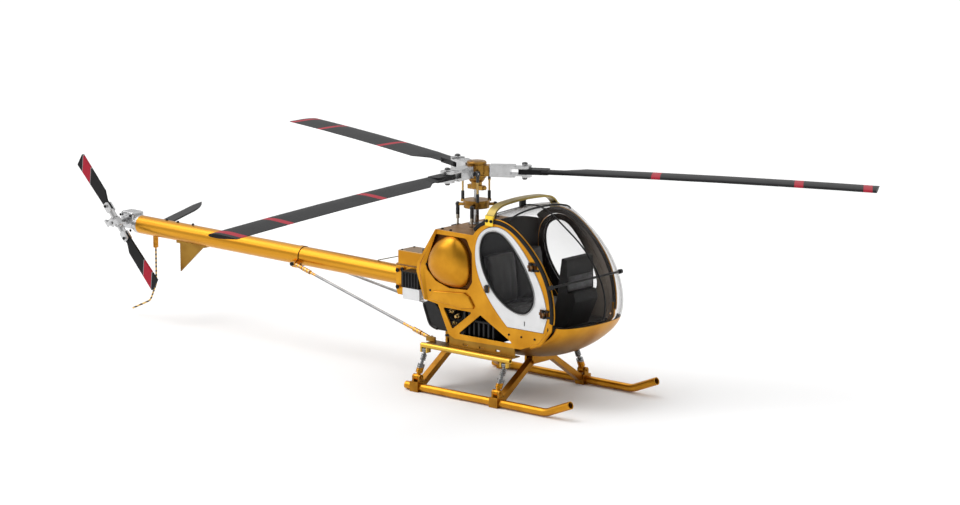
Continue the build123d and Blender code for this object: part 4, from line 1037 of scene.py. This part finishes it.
def add_camera():
    """Camera turned about the vertical, tipped down and slightly rolled."""
    right = Vector((cos(CAMERA_TURN), sin(CAMERA_TURN), 0))
    level_back = Vector((sin(CAMERA_TURN), -cos(CAMERA_TURN), 0))
    back = level_back * cos(CAMERA_DOWN) + Vector((0, 0, sin(CAMERA_DOWN)))
    up = back.cross(right)
    level_right = right * cos(CAMERA_ROLL) + up * sin(CAMERA_ROLL)
    level_up = up * cos(CAMERA_ROLL) - right * sin(CAMERA_ROLL)
    data = bpy.data.cameras.new("camera")
    data.lens = CAMERA_LENS
    data.sensor_width = 36
    data.clip_end = 50
    camera = bpy.data.objects.new("camera", data)
    camera.matrix_world = Matrix.Translation(CAMERA_PLACE) @ Matrix(
        (level_right, level_up, back)).transposed().to_4x4()
    bpy.context.scene.collection.objects.link(camera)
    bpy.context.scene.camera = camera


def add_softbox(name, place, target, size, power):
    """Square area light aimed at a target."""
    data = bpy.data.lights.new(name, "AREA")
    data.size = size
    data.energy = power
    lamp = bpy.data.objects.new(name, data)
    lamp.location = place
    lamp.rotation_euler = (Vector(target) - Vector(place)).to_track_quat("-Z", "Y").to_euler()
    bpy.context.scene.collection.objects.link(lamp)


def add_floor():
    """Wide sheet of pale paper."""
    mesh = bpy.data.meshes.new("floor")
    half = 20
    corners = [(-half, -half, 0), (half, -half, 0), (half, half, 0), (-half, half, 0)]
    mesh.from_pydata(corners, [], [(0, 1, 2, 3)])
    look = Look("floor_paper", (0.96, 0.96, 0.96), roughness=0.9)
    look.rough(look.noise(5, 3), 0.85, 0.95)
    look.set("Specular IOR Level", 0.1)
    mesh.materials.append(look.material)
    floor = bpy.data.objects.new("floor", mesh)
    bpy.context.scene.collection.objects.link(floor)


def add_world():
    """Bright ceiling, dimmer walls, and a dark zone behind the camera for the metal to reflect."""
    world = bpy.data.worlds.new("studio")
    bpy.context.scene.world = world
    world.use_nodes = True
    tree = world.node_tree
    place = tree.nodes.new("ShaderNodeTexCoord")

    def towards(direction, start, end, at_start, at_end):
        """Brightness that changes as the view direction turns towards a direction."""
        dot = tree.nodes.new("ShaderNodeVectorMath")
        dot.operation = "DOT_PRODUCT"
        dot.inputs[1].default_value = direction
        tree.links.new(place.outputs["Generated"], dot.inputs[0])
        remap = tree.nodes.new("ShaderNodeMapRange")
        remap.interpolation_type = "SMOOTHSTEP"
        for name, value in zip(("From Min", "From Max", "To Min", "To Max"), (start, end, at_start, at_end)):
            remap.inputs[name].default_value = value
        tree.links.new(dot.outputs["Value"], remap.inputs["Value"])
        return remap.outputs["Result"]

    ceiling = towards((0, 0, 1), 0.0, 0.9, WALL_LIGHT, CEILING_LIGHT)
    front = towards(CAMERA_SIDE, 0.35, 0.95, 1.0, FRONT_SHARE)
    product = tree.nodes.new("ShaderNodeMath")
    product.operation = "MULTIPLY"
    tree.links.new(ceiling, product.inputs[0])
    tree.links.new(front, product.inputs[1])
    tree.links.new(product.outputs["Value"], tree.nodes["Background"].inputs["Strength"])
    tree.nodes["Background"].inputs["Color"].default_value = (1, 1, 1, 1)


def add_sun():
    """Wide soft key light from above, behind on the near side."""
    data = bpy.data.lights.new("key", "SUN")
    data.energy = SUN_POWER
    data.angle = SUN_WIDTH
    lamp = bpy.data.objects.new("key", data)
    lamp.rotation_euler = SUN_SIDE.to_track_quat("Z", "Y").to_euler()
    bpy.context.scene.collection.objects.link(lamp)


add_camera()
add_world()
add_floor()
add_sun()
add_softbox("left_softbox", (-1.5, -1.3, 1.3), (0, 0, 0.15), 0.8, 5)
bpy.context.scene.view_settings.view_transform = "Standard"
